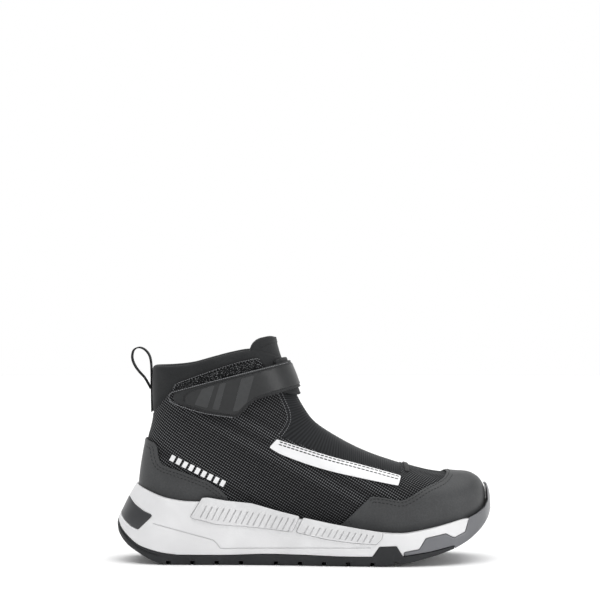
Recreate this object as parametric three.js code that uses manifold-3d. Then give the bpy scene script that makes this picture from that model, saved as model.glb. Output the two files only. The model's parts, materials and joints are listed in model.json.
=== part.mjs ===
// Mid-height riding shoe for the right foot: a knitted sock-like upper with leather toe and heel covers,
// a hook-and-loop ankle strap, a heel pull loop, and a cup midsole on a lugged rubber outsole.
//
// Frame: +X towards the toe, +Y towards the inner (medial) side, +Z up, in millimetres. The origin is on the
// ground, under the middle of the shoe's length and width.
//
// The upper is drawn on a last. The last is a fan of flat ribs seen from the side: upright ribs through the
// toes, ribs that turn about a pivot in front of the instep, then level ribs up the ankle. Every panel is a
// skin of the last, cut to its outline in the side view, and `depth` says how far inside the last it lies.

import * as THREE from "three";
import { mergeVertices } from "three/addons/utils/BufferGeometryUtils.js";
import Module from "manifold-3d";

const wasm = await Module();
wasm.setup();

// ---- Driving dimensions ----
const soleLength = 300;
const soleWidth = 108;
const shoeHeight = 179;
const gap = 0.3; // left between pieces that touch

const fabricThickness = 1.8; // quarters and instep gusset
const collarThickness = 1.8;
const stiffenerThickness = 2.1; // toe puff, heel counter, ankle pads, collar foam
const liningThickness = 1.3;
const overlayThickness = 1.3; // toe cap, heel cover, loop pile field
const stripeThickness = 0.8;
const hookPadThickness = 1.2;
const strapThickness = 1.8;
const patchThickness = 0.9;
const footbedThickness = 5;
const shankThickness = 1.6;
const shankWidth = 24;
const bumperThickness = 3;
const bumperFill = 43; // the foam behind the bumper's wall reaches this height
const heelBandThickness = 2.6;
const railProud = 1.5; // how far a side rail stands out of the midsole wall
const railSunk = 1.6; // how far it is let into that wall
const ribPitch = 4.6;
const ribDepth = 0.8;
const ribWidth = 1;
const loopTapeThickness = 1.4;
const loopTapeWidth = 14;
const treadDepth = 3.2;
const grooveWidth = 3.4;
const lastingMargin = 11; // how far the quarters turn in under the foot

// ---- Shape of the shoe, drawn for these nominal sizes and scaled to the driving ones ----
const nominal = { length: 300, width: 108, height: 179 };
const scaleX = soleLength / nominal.length;
const scaleY = soleWidth / nominal.width;
const scaleZ = shoeHeight / nominal.height;

/** An outline point of the side view, at the driving size. */
const place = ([x, z]) => [x * scaleX, z * scaleZ];
const placeAll = (points) => points.map(place);

/** A smooth run through the points, with `steps` chords in all. */
function smooth(points, steps) {
  const curve = new THREE.SplineCurve(placeAll(points).map(([x, z]) => new THREE.Vector2(x, z)));
  return curve.getPoints(steps).map((p) => [p.x, p.y]);
}

/** y at x on a smooth line through sorted points, level beyond its ends. */
function along(points, x) {
  const last = points.length - 1;
  if (x <= points[0][0]) return points[0][1];
  if (x >= points[last][0]) return points[last][1];
  const i = points.findIndex((p) => p[0] > x) - 1;
  const [x1, y1] = points[i];
  const [x2, y2] = points[i + 1];
  const slope = (a, b) => (b[1] - a[1]) / (b[0] - a[0]);
  const before = i > 0 ? slope(points[i - 1], points[i + 1]) : slope(points[i], points[i + 1]);
  const after = i + 2 <= last ? slope(points[i], points[i + 2]) : slope(points[i], points[i + 1]);
  const h = x2 - x1;
  const t = (x - x1) / h;
  const bend = (h * before - (y2 - y1)) * t * (1 - t) ** 2 - (h * after - (y2 - y1)) * t * t * (1 - t);
  return y1 + (y2 - y1) * t + bend;
}

const mix = (a, b, t) => a + (b - a) * t;
const ease = (t) => t * t * (3 - 2 * t);
const share = (x, from, to) => Math.min(1, Math.max(0, (x - from) / (to - from)));

// ---- The last ----
const toeTip = place([144, 50]);
const pivot = place([30, 130]);
const ankleTop = 192 * scaleZ;

const instepLine = smooth(
  [[144, 50], [143.4, 56], [141, 61.5], [136.5, 65.8], [130, 68.6], [118, 69.6], [101, 71.8], [85, 75.8],
    [69, 80.6], [52.9, 86.2], [36.9, 93.4], [20.9, 102.7], [8.6, 111.6], [0.6, 122.1], [-5.6, 133.5],
    [-11.2, 148], [-17, 162.6], [-21.5, 178.8], [-25, 196]], 120);
const solePlusBackLine = smooth(
  [[144, 50], [143, 43], [138.5, 35], [128, 27.5], [115, 22], [100, 18.4], [80, 16], [55, 16.2], [30, 18.2],
    [0, 22.4], [-40, 26.4], [-80, 27.8], [-105, 28.4], [-121, 32.5], [-129.6, 43], [-131.2, 57], [-130.3, 70],
    [-128.2, 84], [-125.4, 98], [-121.6, 114], [-121.4, 130], [-121.6, 145], [-121.3, 158], [-121.3, 196]], 160);

/** Distance from `from` along `direction` to a line of the side view. */
function reach(line, from, direction) {
  for (let i = 0; i + 1 < line.length; i += 1) {
    const [ax, az] = line[i];
    const edge = [line[i + 1][0] - ax, line[i + 1][1] - az];
    const cross = direction[0] * edge[1] - direction[1] * edge[0];
    if (Math.abs(cross) < 1e-9) continue;
    const offset = [ax - from[0], az - from[1]];
    const distance = (offset[0] * edge[1] - offset[1] * edge[0]) / cross;
    const onEdge = (offset[0] * direction[1] - offset[1] * direction[0]) / cross;
    if (distance >= 0 && onEdge >= -1e-6 && onEdge <= 1 + 1e-6) return distance;
  }
  throw new Error("a rib misses a line of the last");
}

/** Rib `s`: 0 to 1 upright from the toe tip to the pivot, 1 to 2 turning about it, 2 to 3 level up the ankle. */
function rib(s) {
  if (s < 1) {
    const back = Math.cos((s * Math.PI) / 2);
    const x = mix(pivot[0], toeTip[0], back);
    const width = along([[-60, 36], [0, 40], [30, 43.5], [60, 47.4], [85, 48], [115, 46.5], [144, 44]], x / scaleX);
    return {
      from: [x, pivot[1]], direction: [0, -1], back,
      halfWidth: width * scaleY * (1 - Math.min(1, back) ** 5) ** 0.42,
      roundTop: 0.8, roundBottom: 0.36,
    };
  }
  if (s <= 2) {
    const angle = ((s - 1) * Math.PI) / 2;
    const degrees = THREE.MathUtils.radToDeg(angle);
    return {
      from: pivot, direction: [-Math.sin(angle), -Math.cos(angle)], back: 0,
      halfWidth: along([[0, 43.5], [18, 39], [35, 36], [55, 35], [75, 35.5], [90, 36.5]], degrees) * scaleY,
      roundTop: mix(0.8, 0.92, (s - 1)), roundBottom: mix(0.36, 0.72, ease(share(degrees, 28, 68))),
    };
  }
  const z = mix(pivot[1], ankleTop, s - 2);
  return {
    from: [pivot[0], z], direction: [-1, 0], back: 0,
    halfWidth: along([[130, 36.5], [150, 38.5], [170, 40], [195, 41]], z / scaleZ) * scaleY,
    roundTop: 0.92, roundBottom: 0.72,
  };
}

const midline = (x) => along([[-150, 0], [-60, -1], [0, -1.5], [50, 0], [85, 0], [120, 3], [150, 6]], x / scaleX) * scaleY;

/** A point of the last at rib `s` and angle `around`, 0 on the instep and half a turn on the sole or heel. */
function lastPoint(s, around, depth) {
  const r = rib(s);
  const near = reach(instepLine, r.from, r.direction);
  const far = Math.max(near, reach(solePlusBackLine, r.from, r.direction));
  const shrink = (size) => size - depth * Math.min(1, size / 14);
  const half = shrink((far - near) / 2);
  const width = shrink(r.halfWidth);
  const turn = Math.cos(around);
  const distance = (near + far) / 2 - half * turn;
  const side = Math.sin(around);
  const power = mix(r.roundTop, r.roundBottom, ease((1 - turn) / 2));
  const x = r.from[0] + r.direction[0] * distance - depth * r.back;
  const z = r.from[1] + r.direction[1] * distance;
  return new THREE.Vector3(x, midline(x) - Math.sign(side) * width * Math.abs(side) ** power, z);
}

const ribStations = [];
const toeRibs = 10;
const fanRibs = 13;
const ankleRibs = 4;
for (let i = 0; i < toeRibs; i += 1) ribStations.push(mix(0.07, 1, i / (toeRibs - 1)));
for (let i = 1; i <= fanRibs; i += 1) ribStations.push(1 + i / fanRibs);
for (let i = 1; i <= ankleRibs; i += 1) ribStations.push(2 + i / ankleRibs);
const aroundSteps = 22;

// ---- Solids ----
function solidOf(geometry) {
  const bare = geometry.index ? geometry.toNonIndexed() : geometry.clone();
  bare.deleteAttribute("normal");
  bare.deleteAttribute("uv");
  const merged = mergeVertices(bare, 1e-4);
  return new wasm.Manifold(new wasm.Mesh({
    numProp: 3,
    vertProperties: merged.attributes.position.array,
    triVerts: new Uint32Array(merged.index.array),
  }));
}

/** A closed solid through rings of points, all with the same count, capped at both ends. */
function loft(rings) {
  const count = rings[0].length;
  const middle = (ring) => ring.reduce((sum, p) => sum.add(p), new THREE.Vector3()).divideScalar(ring.length);
  const points = [...rings.flat(), middle(rings[0]), middle(rings[rings.length - 1])];
  const faces = [];
  for (let i = 0; i + 1 < rings.length; i += 1) {
    for (let j = 0; j < count; j += 1) {
      const a = i * count + j;
      const b = i * count + ((j + 1) % count);
      faces.push(a, b, a + count, b, b + count, a + count);
    }
  }
  const end = (rings.length - 1) * count;
  for (let j = 0; j < count; j += 1) {
    const next = (j + 1) % count;
    faces.push(points.length - 2, next, j, points.length - 1, end + j, end + next);
  }
  const geometry = new THREE.BufferGeometry();
  geometry.setAttribute("position", new THREE.Float32BufferAttribute(points.flatMap((p) => [p.x, p.y, p.z]), 3));
  geometry.setIndex(faces);
  const made = solidOf(geometry);
  if (made.volume() > 0) return made;
  geometry.setIndex(faces.reverse());
  return solidOf(geometry);
}

const lastCache = new Map();
/** The last's inside at a depth: its outer surface moved in by `depth`, or out where that is negative. */
function last(depth) {
  if (!lastCache.has(depth)) {
    const rings = ribStations.map((s) => {
      const ring = [];
      for (let j = 0; j < aroundSteps; j += 1) ring.push(lastPoint(s, (2 * Math.PI * (j + 0.5)) / aroundSteps, depth));
      return ring;
    });
    lastCache.set(depth, loft(rings));
  }
  return lastCache.get(depth);
}

/** A layer of the last between two depths. */
const skin = (outer, inner) => last(outer).subtract(last(inner));

const wide = 400; // past every side of the shoe

/** The side-view outline, already at the driving size, run across the shoe from y0 to y1. */
function across(outline, y0 = -wide, y1 = wide) {
  const shape = new THREE.Shape(outline.map(([x, z]) => new THREE.Vector2(x, z)));
  const geometry = new THREE.ExtrudeGeometry(shape, { depth: y1 - y0, bevelEnabled: false });
  geometry.rotateX(Math.PI / 2);
  geometry.translate(0, y1, 0);
  return solidOf(geometry);
}

/** The outline moved out by `amount` at every edge. */
function grow(outline, amount) {
  const turning = THREE.ShapeUtils.isClockWise(outline.map(([x, z]) => new THREE.Vector2(x, z))) ? -1 : 1;
  return outline.map((point, i) => {
    const before = outline[(i + outline.length - 1) % outline.length];
    const after = outline[(i + 1) % outline.length];
    const normal = (a, b) => {
      const length = Math.hypot(b[0] - a[0], b[1] - a[1]);
      return [((b[1] - a[1]) / length) * turning, (-(b[0] - a[0]) / length) * turning];
    };
    const n1 = normal(before, point);
    const n2 = normal(point, after);
    const spread = Math.max(0.4, 1 + n1[0] * n2[0] + n1[1] * n2[1]);
    return [point[0] + ((n1[0] + n2[0]) * amount) / spread, point[1] + ((n1[1] + n2[1]) * amount) / spread];
  });
}

const join = (...solids) => solids.reduce((sum, solid) => sum.add(solid));

// ---- Outlines of the side view ----
const beyond = 190; // past the toe, the heel or the ankle
const under = -20;

const rimLine = [[-beyond, 156], ...[[-121.3, 156], [-107.5, 156], [-91.4, 157.6], [-75.4, 161.6], [-59.3, 165.6],
  [-42.5, 168.6]], [beyond, 169]];
const quarterTop = [[-beyond, 117.6], [-120.6, 117.6], [-102.3, 140.1], [-99, 142.6], [-75.6, 151.3],
  [-53.1, 158.5], [-39.2, 161.6], [-34, 160], [-28, 149]];
const quarterFront = [[-28, 149], [-20, 133.8], [-12.9, 114.7], [-20.3, 101.2]];
const gussetEdge = [[-20.3, 101.2], [14.4, 87.9], [40.9, 80.8], [76.3, 71.4], [79.5, 100], [79.5, beyond]];

const outlines = {
  quarter: [...quarterTop, ...quarterFront.slice(1), ...gussetEdge.slice(1), [beyond, beyond], [beyond, under],
    [-beyond, under]],
  gusset: [...quarterFront, ...gussetEdge.slice(1, 5), [60, 149]],
  collar: [...rimLine, [beyond, 149], ...quarterTop.slice().reverse()],
  collarFoam: [[-beyond, 151], [-107.5, 151.5], [-75.4, 157.5], [-47, 163.5], [-47, 150], [-60, 138],
    [-104, 129], [-beyond, 129]],
  tongueTab: [[-44.5, 150], [-44.5, 164], [-41.2, 170.6], [-39, 174.8], [-33.7, 177.4], [-27.3, 179], [-10, 179],
    [20, 150]],
  heelCover: [[-beyond, 98.1], [-127.8, 98.1], [-121.1, 95.4], [-117.1, 92.6], [-115.9, 83.1], [-111.3, 77.5],
    [-94.7, 72], [-76.3, 65.3], [-65.6, 58], [-60.3, 51.2], [-59, 39], [-beyond, 39]],
  toeCap: [[30.4, 32.8], [50.8, 53.3], [53.9, 54.5], [64.3, 53.3], [74.8, 51.5], [81.7, 53.7], [94.8, 61],
    [107.9, 66.2], [114, 71], [115, 90], [beyond, 90], [beyond, 38], [140, 37], [123, 28], [102, 22.5], [76, 19],
    [40, 21.5], [22, 24.5]],
  stripe: [[-21.5, 98.2], [14.4, 87], [40.9, 79.9], [76.3, 70.2], [73.8, 63], [40.9, 69.5], [10.3, 76.7],
    [-16.3, 85.9], [-27.5, 92]],
  loopPad: [[-102, 136], [-99, 140.8], [-75.4, 149.6], [-53, 156.8], [-39.8, 159.6], [-36.5, 158], [-30, 146.5],
    [-25.5, 138], [-40, 131.5], [-52, 122], [-58, 120], [-78, 123.5], [-96, 129.5]],
  hookPad: [[-98, 131], [-72, 141.5], [-42, 149.5], [-34, 146], [-38, 133.5], [-50, 122.5], [-57, 120.2],
    [-77, 123.2]],
  instepPad: [[-21, 136], [-24.5, 161], [beyond, 162.4], [beyond, 129.5]],
  strapFlap: [[-103.2, 130.1], [-100.2, 135.5], [-72.5, 143.9], [-38.7, 153.1], [-10, 160.1], [30, 167.5],
    [30, 145], [-6.5, 138.1], [-23.4, 133.5], [-34.9, 130.5], [-40.3, 127.7], [-48, 120.1], [-51.8, 117],
    [-56.4, 115.9], [-77.1, 119.3], [-97.8, 125.8]],
  strapMedial: [[-86, 138.5], [-72.5, 143.9], [-38.7, 153.1], [-10, 160.1], [30, 167.5], [30, 145],
    [-6.5, 138.1], [-23.4, 133.5], [-48, 126.5], [-82, 116]],
  strapPatch: [[-93.5, 131], [-91.5, 134.7], [-72, 140.9], [-40, 149.7], [-32.5, 147.5], [-30.5, 136],
    [-37, 132.8], [-43, 129], [-50, 121.8], [-54, 119.2], [-58, 118.6], [-77, 122]],
  heelBand: [[-beyond, 54], [-139.5, 51.1], [-134, 46], [-126.5, 41.5], [-119.1, 38.8], [-130.9, 27.5],
    [-136, 29.5], [-141.6, 33.4], [-146.4, 38.5], [-beyond, 41]],
  railRear: [[-89.5, 37.5], [-80, 52.8], [-75.6, 53.1], [-61.4, 50.7], [-40.9, 48.6], [-20.4, 42.9], [-3.6, 38.9],
    [-6.2, 33], [-9.4, 26.8], [-39, 30.2], [-68.2, 32.2]],
  railFront: [[-6.4, 26.6], [-3.2, 33], [-0.8, 38], [20.5, 33.7], [40.9, 30.2], [61.4, 26.9], [60.4, 22],
    [56.1, 17.6], [37.7, 18.7], [17.2, 21.3]],
  bumper: [[77.9, 8.6], [77.9, 11.5], [89.9, 13.6], [95, 22.2], [110.8, 25.3], [117.5, 21.7], [126.7, 25.8],
    [129.9, 36.6], [136.5, 39.3], [143.5, 43.6], [146.5, 48.5], [146.3, 57.5], [145, 61.5], [beyond, 61.5],
    [beyond, under], [118.6, under], [118.6, 16.2], [99, 11.9]],
  heelCounter: [[-beyond, 37], [-62, 37], [-76, 56], [-104, 79], [-107, 94], [-beyond, 94]],
  toePuff: [[105, 31], [112, 90], [beyond, 90], [beyond, 44], [136, 42], [126, 37], [114, 32]],
};

const groundLine = [[-beyond, 31.4], [-149.4, 31.4], [-147.2, 23.2], [-140.6, 15.5], [-132.9, 10.4], [-122, 4.3],
  [-112, 0.5], [-108, 0], [60, 0], [77, 2.2], [99, 7.2], [118, 13.2], [131, 20], [143, 30], [149, 40], [150, 47],
  [beyond, 47]];
const outsoleTop = [[-beyond, 36.6], [-149, 35], [-145.7, 28.3], [-140.6, 22.7], [-132.9, 16.5], [-125.3, 13],
  [-112.4, 9.6], [-99.7, 7.8], [-60, 7.8], [-30, 8.8], [0, 8.4], [27.5, 7.6], [53.1, 7.6], [58.7, 15.6],
  [72, 16.1], [77, 8], [99, 11.3], [118, 15.6]];
const midsoleTop = [[-beyond, 63], [-133.5, 61.5], [-112.4, 53.1], [-96.1, 50], [-87.9, 49.6], [-80, 49.3],
  [-61, 47.6], [-41, 45], [-20, 40], [0, 35.4], [20.5, 31.6], [41, 28.3], [61.4, 26.4], [71.6, 25.9], [81.8, 26.3],
  [102.3, 30.2], [122.7, 35.3], [129.9, 36.3], [136.5, 38.7], [143.5, bumperFill], [beyond, bumperFill]];

for (const [name, points] of Object.entries(outlines)) outlines[name] = placeAll(points);

// ---- The sole's own form: one wall all round, leaning in towards the top ----
const soleRings = [0, 12, 26, 34, 42, 52, 64];
const soleSteps = 46;
const wallLean = (x, z) => {
  const heel = along([[0, 2], [12, 0.6], [26, 0], [34, 1.2], [42, 5], [52, 10], [64, 17]], z);
  const side = along([[0, 2.2], [12, 0.8], [26, 0], [34, 0.6], [42, 1.4], [52, 2.4], [64, 3.6]], z);
  const toe = along([[0, 0], [47, 0], [52, 0.4], [58, 1.8], [64, 4.8]], z);
  return mix(mix(side, heel, ease(share(x, -108, -148))), toe, ease(share(x, 90, 140)));
};

/** The sole's plan outline at height z, moved out by `proud`. */
function soleRing(z, proud) {
  const half = nominal.length / 2;
  const edge = (angle) => {
    const x = half * Math.cos(angle);
    const width = along([[-150, 39], [-115, 40], [-80, 40.5], [-40, 41], [0, 45], [30, 50], [60, 53.6], [74, 54],
      [95, 53.6], [150, 52]], x);
    const heelEnd = (1 - share(x, -104, -150) ** 2.3) ** 0.46;
    const toeEnd = (1 - share(x, 62, 150) ** 2.7) ** 0.44;
    const y = -Math.sign(Math.sin(angle)) * width * heelEnd * toeEnd;
    return new THREE.Vector2(x * scaleX, y * scaleY + midline(x * scaleX));
  };
  const ring = [];
  for (let i = 0; i < soleSteps; i += 1) {
    const angle = (2 * Math.PI * (i + 0.5)) / soleSteps;
    const here = edge(angle);
    const outward = edge(angle + 0.02).sub(edge(angle - 0.02));
    outward.set(-outward.y, outward.x).normalize();
    const move = proud - wallLean(here.x / scaleX, z / scaleZ);
    ring.push(new THREE.Vector3(here.x + outward.x * move, here.y + outward.y * move, z));
  }
  return ring;
}

const soleCache = new Map();
function soleForm(proud) {
  if (!soleCache.has(proud)) soleCache.set(proud, loft(soleRings.map((z) => soleRing(z * scaleZ, proud))));
  return soleCache.get(proud);
}

const raised = (line, amount) => line.map(([x, z]) => [x, z + amount]);

// ---- Sole unit ----
const ground = placeAll(groundLine);
const outsoleTopLine = placeAll(outsoleTop);
const midsoleTopLine = placeAll(midsoleTop);
const aboveGround = (amount) => across([...raised(ground, amount), [beyond * 2, 400], [-beyond * 2, 400]]);

/** V-shaped tread grooves across the outsole, and one long groove in the arch. */
function treadGrooves() {
  const cutters = [];
  for (let i = 0; i < 10; i += 1) {
    const x = (-104 + i * 19) * scaleX;
    const point = 7 * (i < 4 ? -1 : 1);
    const shape = new THREE.Shape();
    shape.moveTo(x, -wide / 4);
    shape.lineTo(x + point, midline(x));
    shape.lineTo(x, wide / 4);
    shape.lineTo(x + grooveWidth, wide / 4);
    shape.lineTo(x + point + grooveWidth, midline(x));
    shape.lineTo(x + grooveWidth, -wide / 4);
    const geometry = new THREE.ExtrudeGeometry(shape, { depth: treadDepth + 10, bevelEnabled: false });
    geometry.translate(0, 0, -10 + Math.max(0, along(groundLine, x / scaleX + 3) * scaleZ));
    cutters.push(solidOf(geometry));
  }
  const arch = new THREE.BoxGeometry(52 * scaleX, 12, treadDepth * 2);
  arch.translate(-16 * scaleX, -1.5, 0);
  cutters.push(solidOf(arch));
  return join(...cutters);
}

function makeOutsole() {
  const region = across([...ground.slice(0, 12), ...outsoleTopLine.slice().reverse()]);
  return soleForm(0).intersect(region).subtract(treadGrooves());
}

/** The foam's room behind the bumper's wall, smaller all round by `clearance`. */
function bumperCore(clearance) {
  const below = across(placeAll([[-beyond, under], [beyond, under], [beyond, bumperFill], [-beyond, bumperFill]]));
  return soleForm(-bumperThickness - clearance).intersect(aboveGround(bumperThickness + clearance))
    .intersect(below.translate([0, 0, -clearance]));
}

function makeBumper() {
  return soleForm(0).intersect(aboveGround(0)).intersect(across(outlines.bumper)).subtract(bumperCore(0))
    .subtract(toeRoom());
}

/** Room for the toe cap in the sole unit, and for the heel cover. */
const toeRoom = () => last(-overlayThickness - 2 * gap).intersect(across(grow(outlines.toeCap, 0.8)));
const heelRoom = () => last(-overlayThickness - 2 * gap).intersect(across(grow(outlines.heelCover, 0.8)));

function makeHeelBand() {
  return soleForm(0).subtract(soleForm(-heelBandThickness)).intersect(across(outlines.heelBand));
}

/** A ribbed side rail: a strip that stands out of the midsole wall, with slanted grooves in its face. */
function makeRail(outline, side, ribs, from, slant) {
  const strip = soleForm(railProud).subtract(soleForm(-railSunk)).intersect(across(outline));
  const half = side < 0 ? across(outline, -wide, 0) : across(outline, 0, wide);
  let made = strip.intersect(half);
  const grooveZone = soleForm(railProud + 5).subtract(soleForm(railProud - ribDepth));
  const cutters = [];
  for (let i = 0; i < ribs; i += 1) {
    const [x, z] = from(i);
    const slot = [[x, z], [x + ribWidth, z], [x + ribWidth + slant[0], z + slant[1]], [x + slant[0], z + slant[1]]];
    cutters.push(side < 0 ? across(placeAll(slot), -wide, 0) : across(placeAll(slot), 0, wide));
  }
  made = made.subtract(grooveZone.intersect(join(...cutters)));
  return made;
}

const railRibs = {
  rear: { count: 16, from: (i) => [-82 + i * ribPitch, 37.3 - i * 0.66], slant: [5, 9.5] },
  front: { count: 12, from: (i) => [-0.5 + i * ribPitch, 25.6 - i * 0.6], slant: [3.4, 6] },
};

function makeMidsole() {
  const region = across([...raised(outsoleTopLine, gap), ...ground.slice(12, 15), place([beyond, 41]),
    ...midsoleTopLine.slice().reverse()]);
  const cup = last(-gap);
  const bumperRoom = across(grow(outlines.bumper, gap)).subtract(bumperCore(gap));
  const bandRoom = across(grow(outlines.heelBand, gap)).subtract(soleForm(-heelBandThickness - gap));
  const railRoom = join(across(grow(outlines.railRear, gap)), across(grow(outlines.railFront, gap)))
    .subtract(soleForm(-railSunk - gap));
  return soleForm(0).intersect(region).subtract(join(cup, toeRoom(), heelRoom())).subtract(bumperRoom)
    .subtract(bandRoom).subtract(railRoom);
}

// ---- Upper ----
const layers = {
  stiffener: fabricThickness + gap,
  lining: fabricThickness + stiffenerThickness + 2 * gap,
};
layers.footbed = layers.lining + liningThickness + gap;

const lateral = (outline) => across(outline, -wide, -gap / 2);
const medial = (outline) => across(outline, gap / 2, wide);

/** The hole left under the foot where the turned-in edges of the quarters stop. */
function underfoot() {
  const ring = soleRing(0, -lastingMargin - 6).map((p) => new THREE.Vector2(p.x, p.y));
  const geometry = new THREE.ExtrudeGeometry(new THREE.Shape(ring), { depth: 35 * scaleZ, bevelEnabled: false });
  return solidOf(geometry);
}

function makeQuarter(half) {
  return skin(0, fabricThickness).intersect(half(grow(outlines.quarter, -gap / 2))).subtract(underfoot());
}

const makeGusset = () => skin(0, fabricThickness).intersect(across(grow(outlines.gusset, -gap / 2)));
const makeCollar = () => skin(0, collarThickness).intersect(across(grow(outlines.collar, -gap / 2)));

const overlay = (outline, from, thickness) => skin(-from - thickness, -from).intersect(across(outline));
const stiffener = (outline, y0 = -wide, y1 = wide) =>
  skin(layers.stiffener, layers.stiffener + stiffenerThickness).intersect(across(outline, y0, y1));

function disc(x, z, radius, steps = 20) {
  const points = [];
  for (let i = 0; i < steps; i += 1) {
    const angle = (2 * Math.PI * i) / steps;
    points.push([x + radius * Math.cos(angle), z + radius * 1.12 * Math.sin(angle)]);
  }
  return placeAll(points);
}

/** The band just above the last's sole line, `from` to `to` above it. */
function soleBand(from, to) {
  const line = [];
  for (let x = -130; x <= 142; x += 16) line.push(x);
  const sole = (x) => reach(solePlusBackLine, [x * scaleX, 80 * scaleZ], [0, -1]);
  const low = line.map((x) => [x * scaleX, 80 * scaleZ - sole(x) + from]);
  const high = line.map((x) => [x * scaleX, 80 * scaleZ - sole(x) + to]);
  low[0][0] = high[0][0] = -beyond;
  low[line.length - 1][0] = high[line.length - 1][0] = beyond;
  return across([...low, ...high.reverse()]);
}

const makeLining = () => skin(layers.lining, layers.lining + liningThickness)
  .intersect(across([...placeAll(rimLine).map(([x, z]) => [x, z - 2]), [beyond * 2, -50], [-beyond * 2, -50]]));

function makeInsoleBoard() {
  return last(layers.stiffener).subtract(last(layers.lining - gap))
    .intersect(soleBand(-5, layers.lining - gap + 0.6));
}

function makeFootbed() {
  return last(layers.footbed).intersect(soleBand(-5, layers.footbed + footbedThickness));
}

/** A thin spring plate under the insole board, from the heel to the arch. */
function makeShank() {
  const plate = new THREE.BoxGeometry(96 * scaleX, shankWidth, 60 * scaleZ);
  plate.translate(-54 * scaleX, -1, 30 * scaleZ);
  return skin(0, shankThickness).intersect(solidOf(plate));
}

// ---- Strap ----
const strapFloor = 2 * gap + overlayThickness + gap + hookPadThickness; // the strap's inner face, above the quarter
const hinge = {
  x: -25 * scaleX,
  axis: new THREE.Vector3(-0.3, 0, 0.954).normalize(),
  z: 148 * scaleZ,
};

/** Everything behind the line where the strap bends, moved forward by `forward`. */
function behindHinge(forward) {
  const lean = (z) => hinge.x + ((z - hinge.z) * hinge.axis.x) / hinge.axis.z + forward;
  return across([[-beyond * 2, 0], [lean(0), 0], [lean(400), 400], [-beyond * 2, 400]], -wide, 0);
}

const strapSkin = () => skin(-strapFloor - strapThickness, -strapFloor);

function makeStrapBase() {
  const band = join(across(outlines.strapFlap, -wide, 0.01), across(outlines.strapMedial, 0, wide));
  return strapSkin().intersect(band).subtract(behindHinge(gap));
}

const makeStrapFlap = () => strapSkin().intersect(across(outlines.strapFlap, -wide, 0)).intersect(behindHinge(0));

function makeStrapPatch() {
  const floor = strapFloor + strapThickness + gap;
  return skin(-floor - patchThickness, -floor).intersect(across(outlines.strapPatch, -wide, 0));
}

function makeHookPad() {
  const floor = strapFloor - gap - hookPadThickness;
  return skin(-floor - hookPadThickness, -floor).intersect(across(outlines.hookPad, -wide, 0));
}

// ---- Pull loop at the heel ----
const loopLine = [[-123.2, 138.2], [-127.8, 145.6], [-131.9, 150.1], [-135.1, 154.3], [-137.5, 159.4],
  [-137.9, 163.9], [-136.5, 168.1], [-132.8, 169.9], [-129.1, 169], [-125.9, 166.3], [-123.9, 162.8],
  [-122.9, 158.4], [-122.5, 152.5], [-122.5, 145]];

function makePullLoop() {
  const curve = new THREE.SplineCurve(placeAll(loopLine).map(([x, z]) => new THREE.Vector2(x, z)));
  const steps = 30;
  const side = (offset) => {
    const points = [];
    for (let i = 0; i <= steps; i += 1) {
      const point = curve.getPoint(i / steps);
      const tangent = curve.getTangent(i / steps);
      points.push([point.x - tangent.y * offset, point.y + tangent.x * offset]);
    }
    return points;
  };
  const ribbon = [...side(loopTapeThickness / 2), ...side(-loopTapeThickness / 2).reverse()];
  return across(ribbon, -loopTapeWidth / 2, loopTapeWidth / 2);
}

/** The sewn-down foot of the loop, on the back seam. */
function makeLoopTape() {
  const foot = across(placeAll([[-beyond, 118.5], [-100, 118.5], [-100, 136.4], [-beyond, 136.4]]),
    -loopTapeWidth / 2, loopTapeWidth / 2);
  return skin(-gap - loopTapeThickness, -gap).intersect(foot).intersect(
    across(placeAll([[-beyond, 100], [-110, 100], [-110, 140], [-beyond, 140]])));
}

// ---- Materials ----
const finish = (color, roughness, metalness = 0) => new THREE.MeshStandardMaterial({ color, roughness, metalness });
const materials = {
  rubber: finish("#1f2022", 0.7),
  foam: finish("#f1f1f2", 0.6),
  rail: finish("#f5f5f6", 0.5),
  bumper: finish("#3c3d40", 0.45),
  mesh: finish("#1b1c1d", 0.9),
  stretch: finish("#2a2b2c", 0.85),
  leather: finish("#38393a", 0.55),
  strap: finish("#3a3b3d", 0.5),
  patch: finish("#232427", 0.35),
  pile: finish("#161617", 1),
  reflective: finish("#eeeeef", 0.4),
  lining: finish("#26272a", 0.95),
  board: finish("#b9a98a", 0.9),
  steel: finish("#b8bcc0", 0.35, 0.9),
  stiffener: finish("#8d9096", 0.8),
  footbed: finish("#46484c", 0.9),
  webbing: finish("#202122", 0.85),
};

const shoe = new THREE.Group();

function add(parent, name, solid, material) {
  const { vertProperties, triVerts, numProp } = solid.getMesh();
  const geometry = new THREE.BufferGeometry();
  const positions = new Float32Array((vertProperties.length / numProp) * 3);
  for (let i = 0; i < positions.length / 3; i += 1) {
    positions.set(vertProperties.subarray(i * numProp, i * numProp + 3), i * 3);
  }
  geometry.setAttribute("position", new THREE.BufferAttribute(positions, 3));
  geometry.setIndex(new THREE.BufferAttribute(triVerts, 1));
  const mesh = new THREE.Mesh(geometry, material);
  mesh.name = name;
  parent.add(mesh);
}

const soleUnit = new THREE.Group();
add(soleUnit, "outsole", makeOutsole(), materials.rubber);
add(soleUnit, "midsole", makeMidsole(), materials.foam);
add(soleUnit, "toe_bumper", makeBumper(), materials.bumper);
add(soleUnit, "heel_band", makeHeelBand(), materials.rubber);
for (const [side, name] of [[-1, "lateral"], [1, "medial"]]) {
  for (const [end, outline] of [["rear", outlines.railRear], ["front", outlines.railFront]]) {
    const { count, from, slant } = railRibs[end];
    add(soleUnit, `side_rail_${name}_${end}`, makeRail(outline, side, count, from, slant), materials.rail);
  }
}
add(soleUnit, "shank", makeShank(), materials.steel);
add(soleUnit, "insole_board", makeInsoleBoard(), materials.board);
add(soleUnit, "footbed", makeFootbed(), materials.footbed);
shoe.add(soleUnit);

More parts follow.
